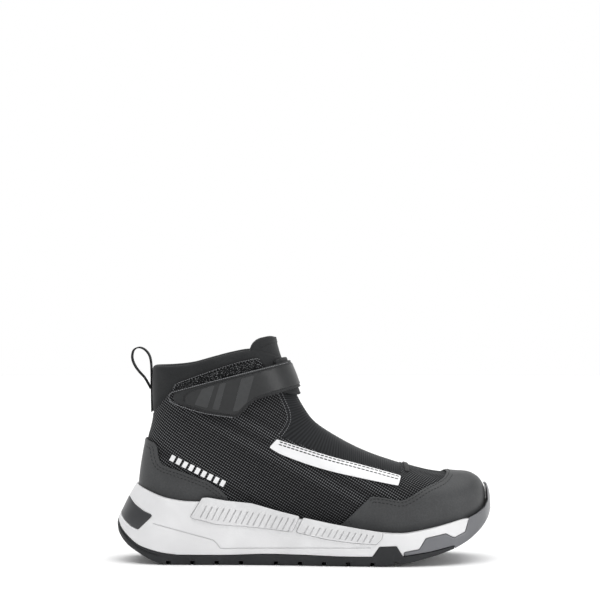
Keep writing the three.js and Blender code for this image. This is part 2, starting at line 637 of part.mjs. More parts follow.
const upper = new THREE.Group();
add(upper, "quarter_lateral", makeQuarter(lateral), materials.mesh);
add(upper, "quarter_medial", makeQuarter(medial), materials.mesh);
add(upper, "instep_gusset", makeGusset(), materials.stretch);
add(upper, "ankle_collar", makeCollar(), materials.stretch);
add(upper, "lining_bootie", makeLining(), materials.lining);
add(upper, "collar_foam", stiffener(outlines.collarFoam), materials.stiffener);
add(upper, "tongue_tab", stiffener(outlines.tongueTab), materials.stretch);
add(upper, "heel_counter", stiffener(outlines.heelCounter), materials.stiffener);
add(upper, "toe_puff", stiffener(outlines.toePuff), materials.stiffener);
add(upper, "ankle_pad_lateral", stiffener(disc(-72, 103, 22), -wide, 0), materials.stiffener);
add(upper, "ankle_pad_medial", stiffener(disc(-70, 106, 22), 0, wide), materials.stiffener);
add(upper, "toe_cap", overlay(outlines.toeCap, gap, overlayThickness), materials.leather);
add(upper, "heel_cover", overlay(outlines.heelCover, gap, overlayThickness), materials.leather);
for (const [side, y0, y1] of [["lateral", -wide, 0], ["medial", 0, wide]]) {
  const stripe = skin(-gap - stripeThickness, -gap).intersect(across(outlines.stripe, y0, y1));
  add(upper, `reflective_stripe_${side}`, stripe, materials.reflective);
}
add(upper, "loop_pile_field", skin(-gap - overlayThickness, -gap).intersect(across(outlines.loopPad, -wide, 0)),
  materials.pile);
shoe.add(upper);

const strap = new THREE.Group();
add(strap, "instep_pad", skin(-strapFloor + gap, -gap).intersect(across(outlines.instepPad)), materials.pile);
add(strap, "strap_base", makeStrapBase(), materials.strap);
add(strap, "strap_flap", makeStrapFlap(), materials.strap);
add(strap, "strap_patch", makeStrapPatch(), materials.patch);
add(strap, "hook_pad", makeHookPad(), materials.pile);
shoe.add(strap);

const heelLoop = new THREE.Group();
add(heelLoop, "pull_loop", makePullLoop(), materials.webbing);
add(heelLoop, "pull_loop_tape", makeLoopTape(), materials.webbing);
shoe.add(heelLoop);

export default shoe;
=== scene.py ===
import json
import math

import bpy
import numpy as np
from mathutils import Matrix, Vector
from mathutils.kdtree import KDTree

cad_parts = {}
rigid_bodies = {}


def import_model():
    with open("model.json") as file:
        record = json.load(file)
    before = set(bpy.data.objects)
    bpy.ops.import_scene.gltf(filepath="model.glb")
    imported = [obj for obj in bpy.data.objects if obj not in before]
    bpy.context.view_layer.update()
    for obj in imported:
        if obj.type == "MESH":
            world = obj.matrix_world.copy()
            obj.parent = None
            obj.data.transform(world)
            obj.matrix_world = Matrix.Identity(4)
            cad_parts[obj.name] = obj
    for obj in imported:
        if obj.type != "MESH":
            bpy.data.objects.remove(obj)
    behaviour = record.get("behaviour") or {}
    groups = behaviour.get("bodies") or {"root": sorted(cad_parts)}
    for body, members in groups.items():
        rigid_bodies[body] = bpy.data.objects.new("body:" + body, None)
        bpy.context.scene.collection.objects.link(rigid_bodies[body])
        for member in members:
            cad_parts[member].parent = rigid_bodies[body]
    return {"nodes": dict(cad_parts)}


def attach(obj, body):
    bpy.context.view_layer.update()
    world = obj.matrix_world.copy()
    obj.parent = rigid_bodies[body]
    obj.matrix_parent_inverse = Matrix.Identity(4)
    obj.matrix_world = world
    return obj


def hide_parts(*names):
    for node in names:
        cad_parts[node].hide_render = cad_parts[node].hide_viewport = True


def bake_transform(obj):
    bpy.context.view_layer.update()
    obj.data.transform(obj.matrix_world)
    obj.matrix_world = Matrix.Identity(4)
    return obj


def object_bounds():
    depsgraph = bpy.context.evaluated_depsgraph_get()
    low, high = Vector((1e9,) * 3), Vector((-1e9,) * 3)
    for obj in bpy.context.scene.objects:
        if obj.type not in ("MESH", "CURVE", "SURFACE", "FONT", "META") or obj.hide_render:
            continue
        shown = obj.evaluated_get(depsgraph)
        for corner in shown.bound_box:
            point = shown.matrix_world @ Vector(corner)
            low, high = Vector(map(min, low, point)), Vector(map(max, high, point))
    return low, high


bpy.ops.object.select_all(action="SELECT")
bpy.ops.object.delete()  # the startup cube, lamp and camera
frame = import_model()
cadLow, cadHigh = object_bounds()
print("frame loaded:", len(frame["nodes"]), "nodes")

mm = 0.001
# the outlines below are drawn in millimetres for a shoe of this size, and follow the frame's size
drawn = {"length": 298.74, "width": 110.39, "height": 179.0}
scale = (
    (cadHigh.x - cadLow.x) / mm / drawn["length"],
    (cadHigh.y - cadLow.y) / mm / drawn["width"],
    (cadHigh.z - cadLow.z) / mm / drawn["height"],
)
fine = 1  # share of the full mesh density
far = 260  # past every side of the shoe


def place(points):
    return [(x * scale[0], z * scale[2]) for x, z in points]


def share(value, start, end):
    return min(1.0, max(0.0, (value - start) / (end - start)))


def ease(t):
    return t * t * (3 - 2 * t)


def mix(a, b, t):
    return a + (b - a) * t


# a smooth run through the points, the same spline as the frame's own lines
def smoothLine(points, steps):
    line = []
    spans = len(points) - 1
    for k in range(steps + 1):
        t = spans * k / steps
        i = min(int(t), spans - 1)
        w = t - i
        p0, p1 = points[max(i - 1, 0)], points[i]
        p2, p3 = points[i + 1], points[min(i + 2, spans)]
        at = []
        for a, b, c, d in zip(p0, p1, p2, p3):
            v0, v1 = (c - a) / 2, (d - b) / 2
            at.append((2 * b - 2 * c + v0 + v1) * w**3 + (3 * c - 3 * b - 2 * v0 - v1) * w * w + v0 * w + b)
        line.append(tuple(at))
    return line


def along(points, x):
    last = len(points) - 1
    if x <= points[0][0]:
        return points[0][1]
    if x >= points[last][0]:
        return points[last][1]
    i = next(k for k in range(last + 1) if points[k][0] > x) - 1
    (x1, y1), (x2, y2) = points[i], points[i + 1]
    slope = lambda a, b: (b[1] - a[1]) / (b[0] - a[0])
    before = slope(points[max(i - 1, 0)], points[i + 1])
    after = slope(points[i], points[min(i + 2, last)])
    h, t = x2 - x1, (x - x1) / (x2 - x1)
    bend = (h * before - (y2 - y1)) * t * (1 - t) ** 2 - (h * after - (y2 - y1)) * t * t * (1 - t)
    return y1 + (y2 - y1) * t + bend


# the last: a fan of flat ribs seen from the side, which every panel of the upper lies on
last = {
    "instep": [(144, 50), (143.4, 56), (141, 61.5), (136.5, 65.8), (130, 68.6), (118, 69.6), (101, 71.8),
               (85, 75.8), (69, 80.6), (52.9, 86.2), (36.9, 93.4), (20.9, 102.7), (8.6, 111.6), (0.6, 122.1),
               (-5.6, 133.5), (-11.2, 148), (-17, 162.6), (-21.5, 178.8), (-25, 196)],
    "soleAndBack": [(144, 50), (143, 43), (138.5, 35), (128, 27.5), (115, 22), (100, 18.4), (80, 16),
                    (55, 16.2), (30, 18.2), (0, 22.4), (-40, 26.4), (-80, 27.8), (-105, 28.4), (-121, 32.5),
                    (-129.6, 43), (-131.2, 57), (-130.3, 70), (-128.2, 84), (-125.4, 98), (-121.6, 114),
                    (-121.4, 130), (-121.6, 145), (-121.3, 158), (-121.3, 196)],
    "pivot": (30, 130),
    "ankleTop": 192,
    "footWidths": [(-60, 36), (0, 40), (30, 43.5), (60, 47.4), (85, 48), (115, 46.5), (144, 44)],
    "fanWidths": [(0, 43.5), (18, 39), (35, 36), (55, 35), (75, 35.5), (90, 36.5)],
    "ankleWidths": [(130, 36.5), (150, 38.5), (170, 40), (195, 41)],
    "midline": [(-150, 0), (-60, -1), (0, -1.5), (50, 0), (85, 0), (120, 3), (150, 6)],
}
instep = np.array(smoothLine(place(last["instep"]), 240))
soleAndBack = np.array(smoothLine(place(last["soleAndBack"]), 320))
toeTip = place([(144, 50)])[0]
pivot = place([last["pivot"]])[0]
ankleTop = last["ankleTop"] * scale[2]
midTable = np.array([(x * scale[0], along(last["midline"], x) * scale[1]) for x in range(-150, 151, 2)])


def midline(x):
    return np.interp(x, midTable[:, 0], midTable[:, 1])


# distance from a point along a direction to a line of the side view
def reach(line, start, direction):
    edges = line[1:] - line[:-1]
    cross = direction[0] * edges[:, 1] - direction[1] * edges[:, 0]
    cross[np.abs(cross) < 1e-9] = 1e-9
    offset = line[:-1] - start
    distance = (offset[:, 0] * edges[:, 1] - offset[:, 1] * edges[:, 0]) / cross
    onEdge = (offset[:, 0] * direction[1] - offset[:, 1] * direction[0]) / cross
    hits = np.nonzero((distance >= 0) & (onEdge >= -1e-6) & (onEdge <= 1 + 1e-6))[0]
    return distance[hits[0]]


ribCache = {}


# rib s: 0 to 1 upright from the toe tip to the pivot, 1 to 2 turning about it, 2 to 3 level up the ankle
def ribAt(s):
    key = round(s, 5)
    if key in ribCache:
        return ribCache[key]
    back, start, roundTop, roundBottom = 0, pivot, 0.8, 0.36
    if s < 1:
        back = math.cos(s * math.pi / 2)
        x = mix(pivot[0], toeTip[0], back)
        start, direction = (x, pivot[1]), (0, -1)
        width = along(last["footWidths"], x / scale[0]) * (1 - min(1, back) ** 5) ** 0.42
    elif s <= 2:
        angle = (s - 1) * math.pi / 2
        direction = (-math.sin(angle), -math.cos(angle))
        width = along(last["fanWidths"], math.degrees(angle))
        roundTop = mix(0.8, 0.92, s - 1)
        roundBottom = mix(0.36, 0.72, ease(share(math.degrees(angle), 28, 68)))
    else:
        z = mix(pivot[1], ankleTop, s - 2)
        start, direction = (pivot[0], z), (-1, 0)
        width = along(last["ankleWidths"], z / scale[2])
        roundTop, roundBottom = 0.92, 0.72
    near = reach(instep, start, direction)
    farSide = max(near, reach(soleAndBack, start, direction))
    ribCache[key] = (start, direction, back, width * scale[1], roundTop, roundBottom, near, farSide)
    return ribCache[key]


# points of the last at rib s, for angles round it (0 on the instep, half a turn on the sole or heel)
def lastRing(s, around, depth):
    start, direction, back, halfWidth, roundTop, roundBottom, near, farSide = ribAt(s)
    around = np.asarray(around, float)
    half = (farSide - near) / 2
    half -= depth * min(1, half / 14)
    width = halfWidth - depth * min(1, halfWidth / 14)
    turn, side = np.cos(around), np.sin(around)
    distance = (near + farSide) / 2 - half * turn
    t = (1 - turn) / 2
    power = mix(roundTop, roundBottom, t * t * (3 - 2 * t))
    x = start[0] + direction[0] * distance - depth * back
    z = start[1] + direction[1] * distance
    y = midline(x) - np.sign(side) * width * np.abs(side) ** power
    return np.stack([x, y, z], axis=-1)


# the rib and angle of a side-view point, so that seams can be drawn there
def ribOf(x, z):
    if z >= pivot[1]:
        s, distance = 2 + (z - pivot[1]) / (ankleTop - pivot[1]), pivot[0] - x
    elif x >= pivot[0]:
        back = min(1.0, (x - pivot[0]) / (toeTip[0] - pivot[0]))
        s, distance = math.acos(back) * 2 / math.pi, pivot[1] - z
    else:
        s = 1 + math.atan2(pivot[0] - x, pivot[1] - z) * 2 / math.pi
        distance = math.hypot(pivot[0] - x, pivot[1] - z)
    near, farSide = ribAt(s)[6:8]
    half = max(0.5, (farSide - near) / 2)
    return s, math.acos(max(-1.0, min(1.0, ((near + farSide) / 2 - distance) / half)))


def onLast(x, z, side, depth):
    s, angle = ribOf(x, z)
    return lastRing(s, [angle if side < 0 else -angle], depth)[0]


# modelling steps used by every piece
def deselect():
    if bpy.context.mode != "OBJECT":
        bpy.ops.object.mode_set(mode="OBJECT")
    bpy.ops.object.select_all(action="DESELECT")


def pick(piece):
    deselect()
    piece.select_set(True)
    bpy.context.view_layer.objects.active = piece
    return piece


def editAll(piece, *steps):
    pick(piece)
    bpy.ops.object.mode_set(mode="EDIT")
    bpy.ops.mesh.select_all(action="SELECT")
    for step in steps:
        step()
    bpy.ops.object.mode_set(mode="OBJECT")
    return piece


def moveVertices(piece, points):
    piece.data.vertices.foreach_set("co", np.asarray(points, np.float32).ravel() * mm)
    piece.data.update()


def modify(piece, kind, **settings):
    pick(piece)
    modifier = piece.modifiers.new(kind.title(), kind)
    for key, value in settings.items():
        setattr(modifier, key, value)
    bpy.ops.object.modifier_apply(modifier=modifier.name)
    return piece


def cut(piece, tool, operation="DIFFERENCE", keepTool=False):
    modify(piece, "BOOLEAN", object=tool, operation=operation, solver="MANIFOLD")
    if not keepTool:
        bpy.data.objects.remove(tool)
    return piece


def fillEnds(piece):
    def fill():
        bpy.ops.mesh.select_all(action="DESELECT")
        bpy.ops.mesh.select_non_manifold()
        bpy.ops.mesh.edge_face_add()
    return editAll(piece, fill)


edgeMerge, movedMerge = 0.3, 0.28  # what is merged, as shares of the room kept beside an edge
edgeSamples = 5  # points looked at along each edge


# the ends of every edge that is open or turns more than this angle
def cornerEdges(piece, angle):
    mesh = piece.data
    loopEdge = np.zeros(len(mesh.loops), np.int32)
    mesh.loops.foreach_get("edge_index", loopEdge)
    sizes = np.zeros(len(mesh.polygons), np.int32)
    mesh.polygons.foreach_get("loop_total", sizes)
    normals = np.zeros(len(mesh.polygons) * 3)
    mesh.polygons.foreach_get("normal", normals)
    loopNormal = np.repeat(normals.reshape(-1, 3), sizes, axis=0)
    total = np.zeros((len(mesh.edges), 3))
    np.add.at(total, loopEdge, loopNormal)
    count = np.bincount(loopEdge, minlength=len(mesh.edges))
    cosine = (np.sum(total**2, axis=1) - 2) / 2
    ends = np.zeros(len(mesh.edges) * 2, np.int32)
    mesh.edges.foreach_get("vertices", ends)
    return ends.reshape(-1, 2)[(count == 1) | (cosine < math.cos(math.radians(angle)))]


# merges what lies close together along a piece's edges, and keeps its other vertices clear of them,
# so that the edges can be rounded evenly
def clearEdges(piece, room, angle=38):
    flags = np.zeros(len(piece.data.vertices), bool)
    flags[cornerEdges(piece, angle).ravel()] = True
    pick(piece)
    deselectMesh(piece)
    piece.data.vertices.foreach_set("select", flags)
    bpy.ops.object.mode_set(mode="EDIT")
    bpy.ops.mesh.remove_doubles(threshold=edgeMerge * room * mm, use_unselected=False)
    bpy.ops.object.mode_set(mode="OBJECT")
    ends = cornerEdges(piece, angle)
    points = np.zeros(len(piece.data.vertices) * 3)
    piece.data.vertices.foreach_get("co", points)
    points = points.reshape(-1, 3) / mm
    onEdge = np.zeros(len(points), bool)
    onEdge[ends.ravel()] = True
    tree = KDTree(len(ends) * edgeSamples)
    for i, (a, b) in enumerate(ends):
        for k in range(edgeSamples):
            tree.insert(points[a] + (points[b] - points[a]) * k / edgeSamples, i)
    tree.balance()
    for i in np.nonzero(~onEdge)[0]:
        near, _, distance = tree.find(points[i])
        if 1e-3 < distance < room:
            points[i] += (points[i] - np.array(near)) * (room / distance - 1)
    moveVertices(piece, points)
    return editAll(piece, lambda: bpy.ops.mesh.remove_doubles(threshold=movedMerge * room * mm))


def roundEdges(piece, radius, angle=38, segments=2):
    clearEdges(piece, radius * 1.6, angle)
    return modify(piece, "BEVEL", width=radius * mm, segments=segments, limit_method="ANGLE",
                  angle_limit=math.radians(angle), use_clamp_overlap=False, harden_normals=False)


def deselectMesh(piece):
    mesh = piece.data
    for part in (mesh.vertices, mesh.edges, mesh.polygons):
        part.foreach_set("select", np.zeros(len(part), bool))


def shadeSmooth(piece, angle=50):
    pick(piece)
    bpy.ops.object.shade_smooth_by_angle(angle=math.radians(angle))
    return piece


# a grid laid on a surface: rows of points, closed round each row, with a map of unrolled millimetres
def wrapGrid(name, rows, maps=None):
    rows = np.asarray(rows, float)
    count, around = rows.shape[0], rows.shape[1]
    deselect()
    bpy.ops.mesh.primitive_grid_add(x_subdivisions=around, y_subdivisions=count - 1, size=2, calc_uvs=True)
    piece = bpy.context.object
    piece.name = piece.data.name = name
    closed = np.concatenate([rows, rows[:, :1]], axis=1)
    moveVertices(piece, closed.reshape(-1, 3))
    if maps is not None:
        loops = np.zeros(len(piece.data.loops), np.int32)
        piece.data.loops.foreach_get("vertex_index", loops)
        for index, values in enumerate(maps):
            values = np.concatenate([values, values[:, :1]], axis=1).reshape(-1, 2)
            layer = piece.data.uv_layers[0] if index == 0 else piece.data.uv_layers.new(name="ribMap")
            layer.name = "unrolled" if index == 0 else "ribMap"
            layer.data.foreach_set("uv", values[loops].astype(np.float32).ravel())
    return editAll(piece, lambda: bpy.ops.mesh.remove_doubles(threshold=1e-6))


# a solid prism across the shoe, from an outline of the side view
def addPrism(outline, y0=-far, y1=far):
    deselect()
    bpy.ops.mesh.primitive_circle_add(vertices=len(outline), radius=1, fill_type="NGON")
    prism = bpy.context.object
    moveVertices(prism, [(x, y0, z) for x, z in outline])
    depth = (y1 - y0) * mm
    return editAll(
        prism,
        lambda: bpy.ops.mesh.extrude_region_move(TRANSFORM_OT_translate={"value": (0, depth, 0)}),
        lambda: bpy.ops.mesh.select_all(action="SELECT"),
        lambda: bpy.ops.mesh.normals_make_consistent(inside=False),
    )


# runs of points: a run of two is straight, a longer one is a smooth curve, and runs meet in corners
def outlineOf(runs, spacing=1.6):
    line = []
    for run in runs:
        run = place(run)
        if len(run) > 2:
            length = sum(math.dist(a, b) for a, b in zip(run, run[1:]))
            run = smoothLine(run, max(len(run) * 2, int(length / spacing)))
        for point in run:
            if not line or math.dist(point, line[-1]) > 0.05:
                line.append(point)
    if math.dist(line[0], line[-1]) < 0.05:
        line.pop()
    return line


# rounds the corners of a closed outline, as a die or a mould has them, so that its edge rounds evenly too
def softCorners(outline, radius, sharp=30, closest=0.15):
    line = np.array(outline, float)
    count = len(line)
    ahead = np.roll(line, -1, axis=0) - line
    heading = np.arctan2(ahead[:, 1], ahead[:, 0])
    turning = np.abs((heading - np.roll(heading, 1) + math.pi) % (2 * math.pi) - math.pi)
    corners = [i for i in range(count) if turning[i] > math.radians(sharp)]
    travel = np.concatenate([[0], np.cumsum(np.linalg.norm(ahead, axis=1))])
    total = travel[-1]
    closedLine = np.concatenate([line, line[:1]])
    gaps = [(travel[after] - travel[here]) % total for here, after in zip(corners, corners[1:] + corners[:1])]
    rooms = [min(radius * min(2.2, math.tan(turning[i] / 2)), 0.45 * gaps[k - 1], 0.45 * gaps[k])
             for k, i in enumerate(corners)]
    soft = []
    for k, i in enumerate(corners):
        start, middle, end = [np.array([np.interp((travel[i] + move) % total, travel, closedLine[:, axis])
                                        for axis in (0, 1)]) for move in (-rooms[k], 0, rooms[k])]
        steps = 2 + int(turning[i] / 0.4)
        for step in range(steps + 1):
            t = step / steps
            soft.append(start * (1 - t) ** 2 + middle * 2 * t * (1 - t) + end * t * t)
        reachTo = gaps[k] - rooms[(k + 1) % len(corners)] - closest
        for j in range(i + 1, i + count):
            gone = (travel[j % count] - travel[i]) % total
            if rooms[k] + closest < gone < reachTo:
                soft.append(line[j % count])
            elif gone >= reachTo:
                break
    return soft


def offsetLine(line, amount):
    line = np.asarray(line, float)
    tangent = np.gradient(line, axis=0)
    tangent /= np.linalg.norm(tangent, axis=1)[:, None] + 1e-9
    return line + np.stack([-tangent[:, 1], tangent[:, 0]], axis=1) * amount


ribCount = int(168 * fine)
aroundCount = int(144 * fine)
stations = [mix(0.045, 1, i / (ribCount * 0.34)) for i in range(int(ribCount * 0.34))]
stations += [1 + i / (ribCount * 0.46) for i in range(int(ribCount * 0.46))]
stations += [2 + i / (ribCount * 0.2) for i in range(int(ribCount * 0.2) + 1)]
turns = 2 * math.pi * np.arange(aroundCount) / aroundCount


def addLast(name, depth):
    rows, unrolled, ribs = [], [], []
    travel, before = 0, None
    for s in stations:
        ring = lastRing(s, turns, depth)
        direction = ribAt(s)[1]
        half = aroundCount // 2
        steps = np.linalg.norm(np.diff(ring[: half + 1], axis=0), axis=1)
        arc = np.concatenate([[0], np.cumsum(steps)])
        quarter = arc[half // 2]
        middle = ring[half // 2]
        arc = np.concatenate([arc, arc[half - 1:0:-1]])
        unrolled.append(np.stack([middle[0] + direction[0] * (arc - quarter),
                                  middle[2] + direction[1] * (arc - quarter)], axis=1))
        if before is not None:
            travel += np.linalg.norm(ring[0] - before)
        before = ring[0]
        ribs.append(np.stack([np.full(aroundCount, travel), arc], axis=1))
        rows.append(ring)
    piece = wrapGrid(name, rows, (np.array(unrolled), np.array(ribs)))
    fillEnds(piece)
    markSkin(piece)
    return editAll(piece, lambda: bpy.ops.mesh.normals_make_consistent(inside=False))


# the outside of a form is marked, so that a panel cut from it can be told from the cut's own faces
def markSkin(piece):
    mark = piece.data.attributes.new("skin", "FLOAT", "FACE")
    flat = np.zeros(len(piece.data.polygons), np.float32)
    sizes = np.zeros(len(flat), np.int32)
    piece.data.polygons.foreach_get("loop_total", sizes)
    flat[sizes <= 4] = 1
    mark.data.foreach_set("value", flat)


def keepSkin(piece):
    pick(piece)
    skin = np.zeros(len(piece.data.polygons), np.float32)
    piece.data.attributes["skin"].data.foreach_get("value", skin)
    deselectMesh(piece)
    piece.data.polygons.foreach_set("select", skin < 0.5)
    bpy.ops.object.mode_set(mode="EDIT")
    bpy.ops.mesh.select_mode(type="FACE")
    bpy.ops.mesh.delete(type="FACE")
    bpy.ops.mesh.select_mode(type="VERT")
    bpy.ops.object.mode_set(mode="OBJECT")
    return piece


# a panel of the upper: the last's skin at a depth, cut to its outline, given its thickness, edges rounded
def addPanel(name, outline, depth, thickness, edge=0.4, y0=-far, y1=far, more=None):
    piece = addLast(name, depth)
    tool = addPrism(softCorners(outline, 1 + edge), y0, y1)
    if more is not None:
        cut(tool, addPrism(softCorners(more[0], 1 + edge), *more[1:]), "UNION")
    cut(piece, tool, "INTERSECT")
    keepSkin(piece)
    if edge:
        clearEdges(piece, max(0.5, edge * 1.6))
    modify(piece, "SOLIDIFY", thickness=thickness * mm, offset=-1, use_rim=True, use_even_offset=False)
    if edge:
        roundEdges(piece, edge)
    return shadeSmooth(piece)


# a small four-cornered patch laid on the upper, such as a print
def addPatch(corners, side, depth, thickness, steps=5):
    deselect()
    bpy.ops.mesh.primitive_grid_add(x_subdivisions=steps, y_subdivisions=steps, size=2)
    piece = bpy.context.object
    points = []
    for vertex in piece.data.vertices:
        s, t = (vertex.co.x + 1) / 2, (vertex.co.y + 1) / 2
        a, b, c, d = corners
        x, z = [mix(mix(a[k], b[k], s), mix(d[k], c[k], s), t) for k in (0, 1)]
        points.append(onLast(x, z, side, depth))
    moveVertices(piece, points)
    modify(piece, "SOLIDIFY", thickness=thickness * mm, offset=-1, use_rim=True, use_even_offset=False)
    return shadeSmooth(piece)


# the sole's own form: one wall all round, leaning in towards the top
sole = {
    "heelWidths": [(-150, 39), (-115, 40), (-80, 40.5), (-40, 41), (0, 45), (30, 50), (60, 53.6), (74, 54),
                   (95, 53.6), (150, 52)],
    "heelLean": [(0, 2), (12, 0.6), (26, 0), (34, 1.2), (42, 5), (52, 10), (64, 17)],
    "sideLean": [(0, 2.2), (12, 0.8), (26, 0), (34, 0.6), (42, 1.4), (52, 2.4), (64, 3.6)],
    "toeLean": [(0, 0), (47, 0), (52, 0.4), (58, 1.8), (64, 4.8)],
    "length": 300,
    "groundHeel": [(-149.4, 31.4), (-147.2, 23.2), (-140.6, 15.5), (-132.9, 10.4), (-122, 4.3), (-112, 0.5),
                   (-108, 0)],
    "groundToe": [(60, 0), (77, 2.2), (99, 7.2), (118, 13.2)],
    "bumperFoot": [(118, 13.2), (131, 20), (143, 30), (149, 40), (150, 47)],
    "outsoleHeel": [(-149, 35), (-145.7, 28.3), (-140.6, 22.7), (-132.9, 16.5), (-125.3, 13), (-112.4, 9.6),
                    (-99.7, 7.8)],
    "outsoleSide": [(-99.7, 7.8), (-60, 7.8), (-30, 8.8), (0, 8.4), (27.5, 7.6), (53.1, 7.6)],
    "outsoleTab": [(53.1, 7.6), (58.7, 15.6), (72, 16.1), (77, 8)],
    "outsoleToe": [(77, 8), (99, 11.3), (118, 15.6)],
    "midsoleTop": [(-190, 63), (-133.5, 61.5), (-112.4, 53.1), (-96.1, 50), (-87.9, 49.6), (-80, 49.3),
                   (-61, 47.6), (-41, 45), (-20, 40), (0, 35.4), (20.5, 31.6), (41, 28.3), (61.4, 26.4),
                   (71.6, 25.9), (81.8, 26.3), (102.3, 30.2), (122.7, 35.3), (129.9, 36.3), (136.5, 38.7),
                   (143.5, 43), (190, 43)],
    "joinGap": 0.3, "corner": 1.7,
}
wallRows, wallColumns = 20, 132  # few enough for the edge rounding to stay clean
wallLevels = [64 * i / wallRows for i in range(wallRows + 1)]
wallTurns = 2 * math.pi * (np.arange(wallColumns) + 0.5) / wallColumns
leanTable = {}


def wallLean(x, z):
    if z not in leanTable:
        leanTable[z] = [along(sole[part], z) for part in ("heelLean", "sideLean", "toeLean")]
    heel, side, toe = leanTable[z]
    return mix(mix(side, heel, ease(share(x, -108, -148))), toe, ease(share(x, 90, 140)))


def wallEdge(angles):
    x = sole["length"] / 2 * np.cos(angles)
    width = np.array([along(sole["heelWidths"], value) for value in x])
    heelEnd = (1 - np.clip((x + 104) / -46, 0, 1) ** 2.3) ** 0.46
    toeEnd = (1 - np.clip((x - 62) / 88, 0, 1) ** 2.7) ** 0.44
    y = -np.sign(np.sin(angles)) * width * heelEnd * toeEnd
    return np.stack([x * scale[0], y * scale[1] + midline(x * scale[0])], axis=1)


wallHere = wallEdge(wallTurns)
wallOut = wallEdge(wallTurns + 0.02) - wallEdge(wallTurns - 0.02)
wallOut = np.stack([-wallOut[:, 1], wallOut[:, 0]], axis=1)
wallOut /= np.linalg.norm(wallOut, axis=1)[:, None]
wallTravel = np.concatenate([[0], np.cumsum(np.linalg.norm(np.diff(wallHere, axis=0), axis=1))])


def wallRing(z, proud):
    move = proud - np.array([wallLean(x / scale[0], z) for x in wallHere[:, 0]])
    ring = wallHere + wallOut * move[:, None]
    return np.column_stack([ring, np.full(len(ring), z * scale[2])])


wallMoves = {}


def addForm(name, proud):
    rows = []
    for z in wallLevels:
        if z not in wallMoves:
            wallMoves[z] = wallRing(z, 0)
        rows.append(wallMoves[z] + np.column_stack([wallOut * proud, np.zeros(len(wallOut))]))
    maps = np.array([np.stack([wallTravel, np.full(len(wallTravel), z)], axis=1) for z in wallLevels])
    piece = wrapGrid(name, rows, (maps, maps))
    fillEnds(piece)
    markSkin(piece)
    return editAll(piece, lambda: bpy.ops.mesh.normals_make_consistent(inside=False))


# a panel of the sole wall, cut to its outline in the side view
def addWallPanel(name, outline, proud, thickness, edge, y0=-far, y1=far):
    piece = addForm(name, proud)
    cut(piece, addPrism(softCorners(outline, sole["corner"]), y0, y1), "INTERSECT")
    keepSkin(piece)
    clearEdges(piece, max(0.5, edge * 1.6))
    modify(piece, "SOLIDIFY", thickness=thickness * mm, offset=-1, use_rim=True, use_even_offset=False)
    roundEdges(piece, edge, segments=3)
    return shadeSmooth(piece)


def grow(outline, amount):
    line = np.asarray(outline, float)
    area = np.sum(line[:, 0] * np.roll(line[:, 1], -1) - np.roll(line[:, 0], -1) * line[:, 1])
    before, after = line - np.roll(line, 1, axis=0), np.roll(line, -1, axis=0) - line
    before /= np.linalg.norm(before, axis=1)[:, None]
    after /= np.linalg.norm(after, axis=1)[:, None]
    out = np.stack([before[:, 1] + after[:, 1], -before[:, 0] - after[:, 0]], axis=1) * np.sign(area)
    spread = np.maximum(0.4, 1 + np.sum(before * after, axis=1))
    return line + out * amount / spread[:, None]


def joinPieces(name, pieces):
    deselect()
    for piece in pieces:
        piece.select_set(True)
    bpy.context.view_layer.objects.active = pieces[0]
    if len(pieces) > 1:
        bpy.ops.object.join()
    pieces[0].name = pieces[0].data.name = name
    return pieces[0]


def thinLine(runs, width):
    line = np.array(outlineOf(runs))
    return np.concatenate([offsetLine(line, width / 2), offsetLine(line, -width / 2)[::-1]])


allPieces = []


# gives a modelled piece its name, material and body, and hides the nodes that it stands for
def finishPiece(piece, name, body, material, nodes=()):
    piece.name = piece.data.name = name
    piece.data.materials.clear()
    piece.data.materials.append(material)
    if body:
        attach(piece, body)
    if nodes:
        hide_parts(*nodes)
    allPieces.append(piece)
    return piece


# materials
def srgb(code):
    values = [int(code[i:i + 2], 16) / 255 for i in (1, 3, 5)]
    return tuple(v / 12.92 if v <= 0.04045 else ((v + 0.055) / 1.055) ** 2.4 for v in values) + (1.0,)


def addNode(tree, kind, links=None, **settings):
    node = tree.nodes.new(kind)
    for key, value in settings.items():
        setattr(node, key, value)
    for key, value in (links or {}).items():
        if isinstance(value, bpy.types.NodeSocket):
            tree.links.new(value, node.inputs[key])
        else:
            node.inputs[key].default_value = value
    return node


# a new material with its shader's fixed values; what varies over the surface is linked afterwards
def startMaterial(name, **fixed):
    material = bpy.data.materials.new(name)
    material.use_nodes = True
    tree = material.node_tree
    shader = tree.nodes["Principled BSDF"]
    for key, value in fixed.items():
        shader.inputs[key.replace("_", " ")].default_value = value
    return material, tree, shader


def linkShader(tree, shader, **sockets):
    for key, socket in sockets.items():
        tree.links.new(socket, shader.inputs[key.replace("_", " ")])


def waveScale(period):
    return math.pi / 10 / period  # a wave texture's scale for a pattern that repeats at this distance


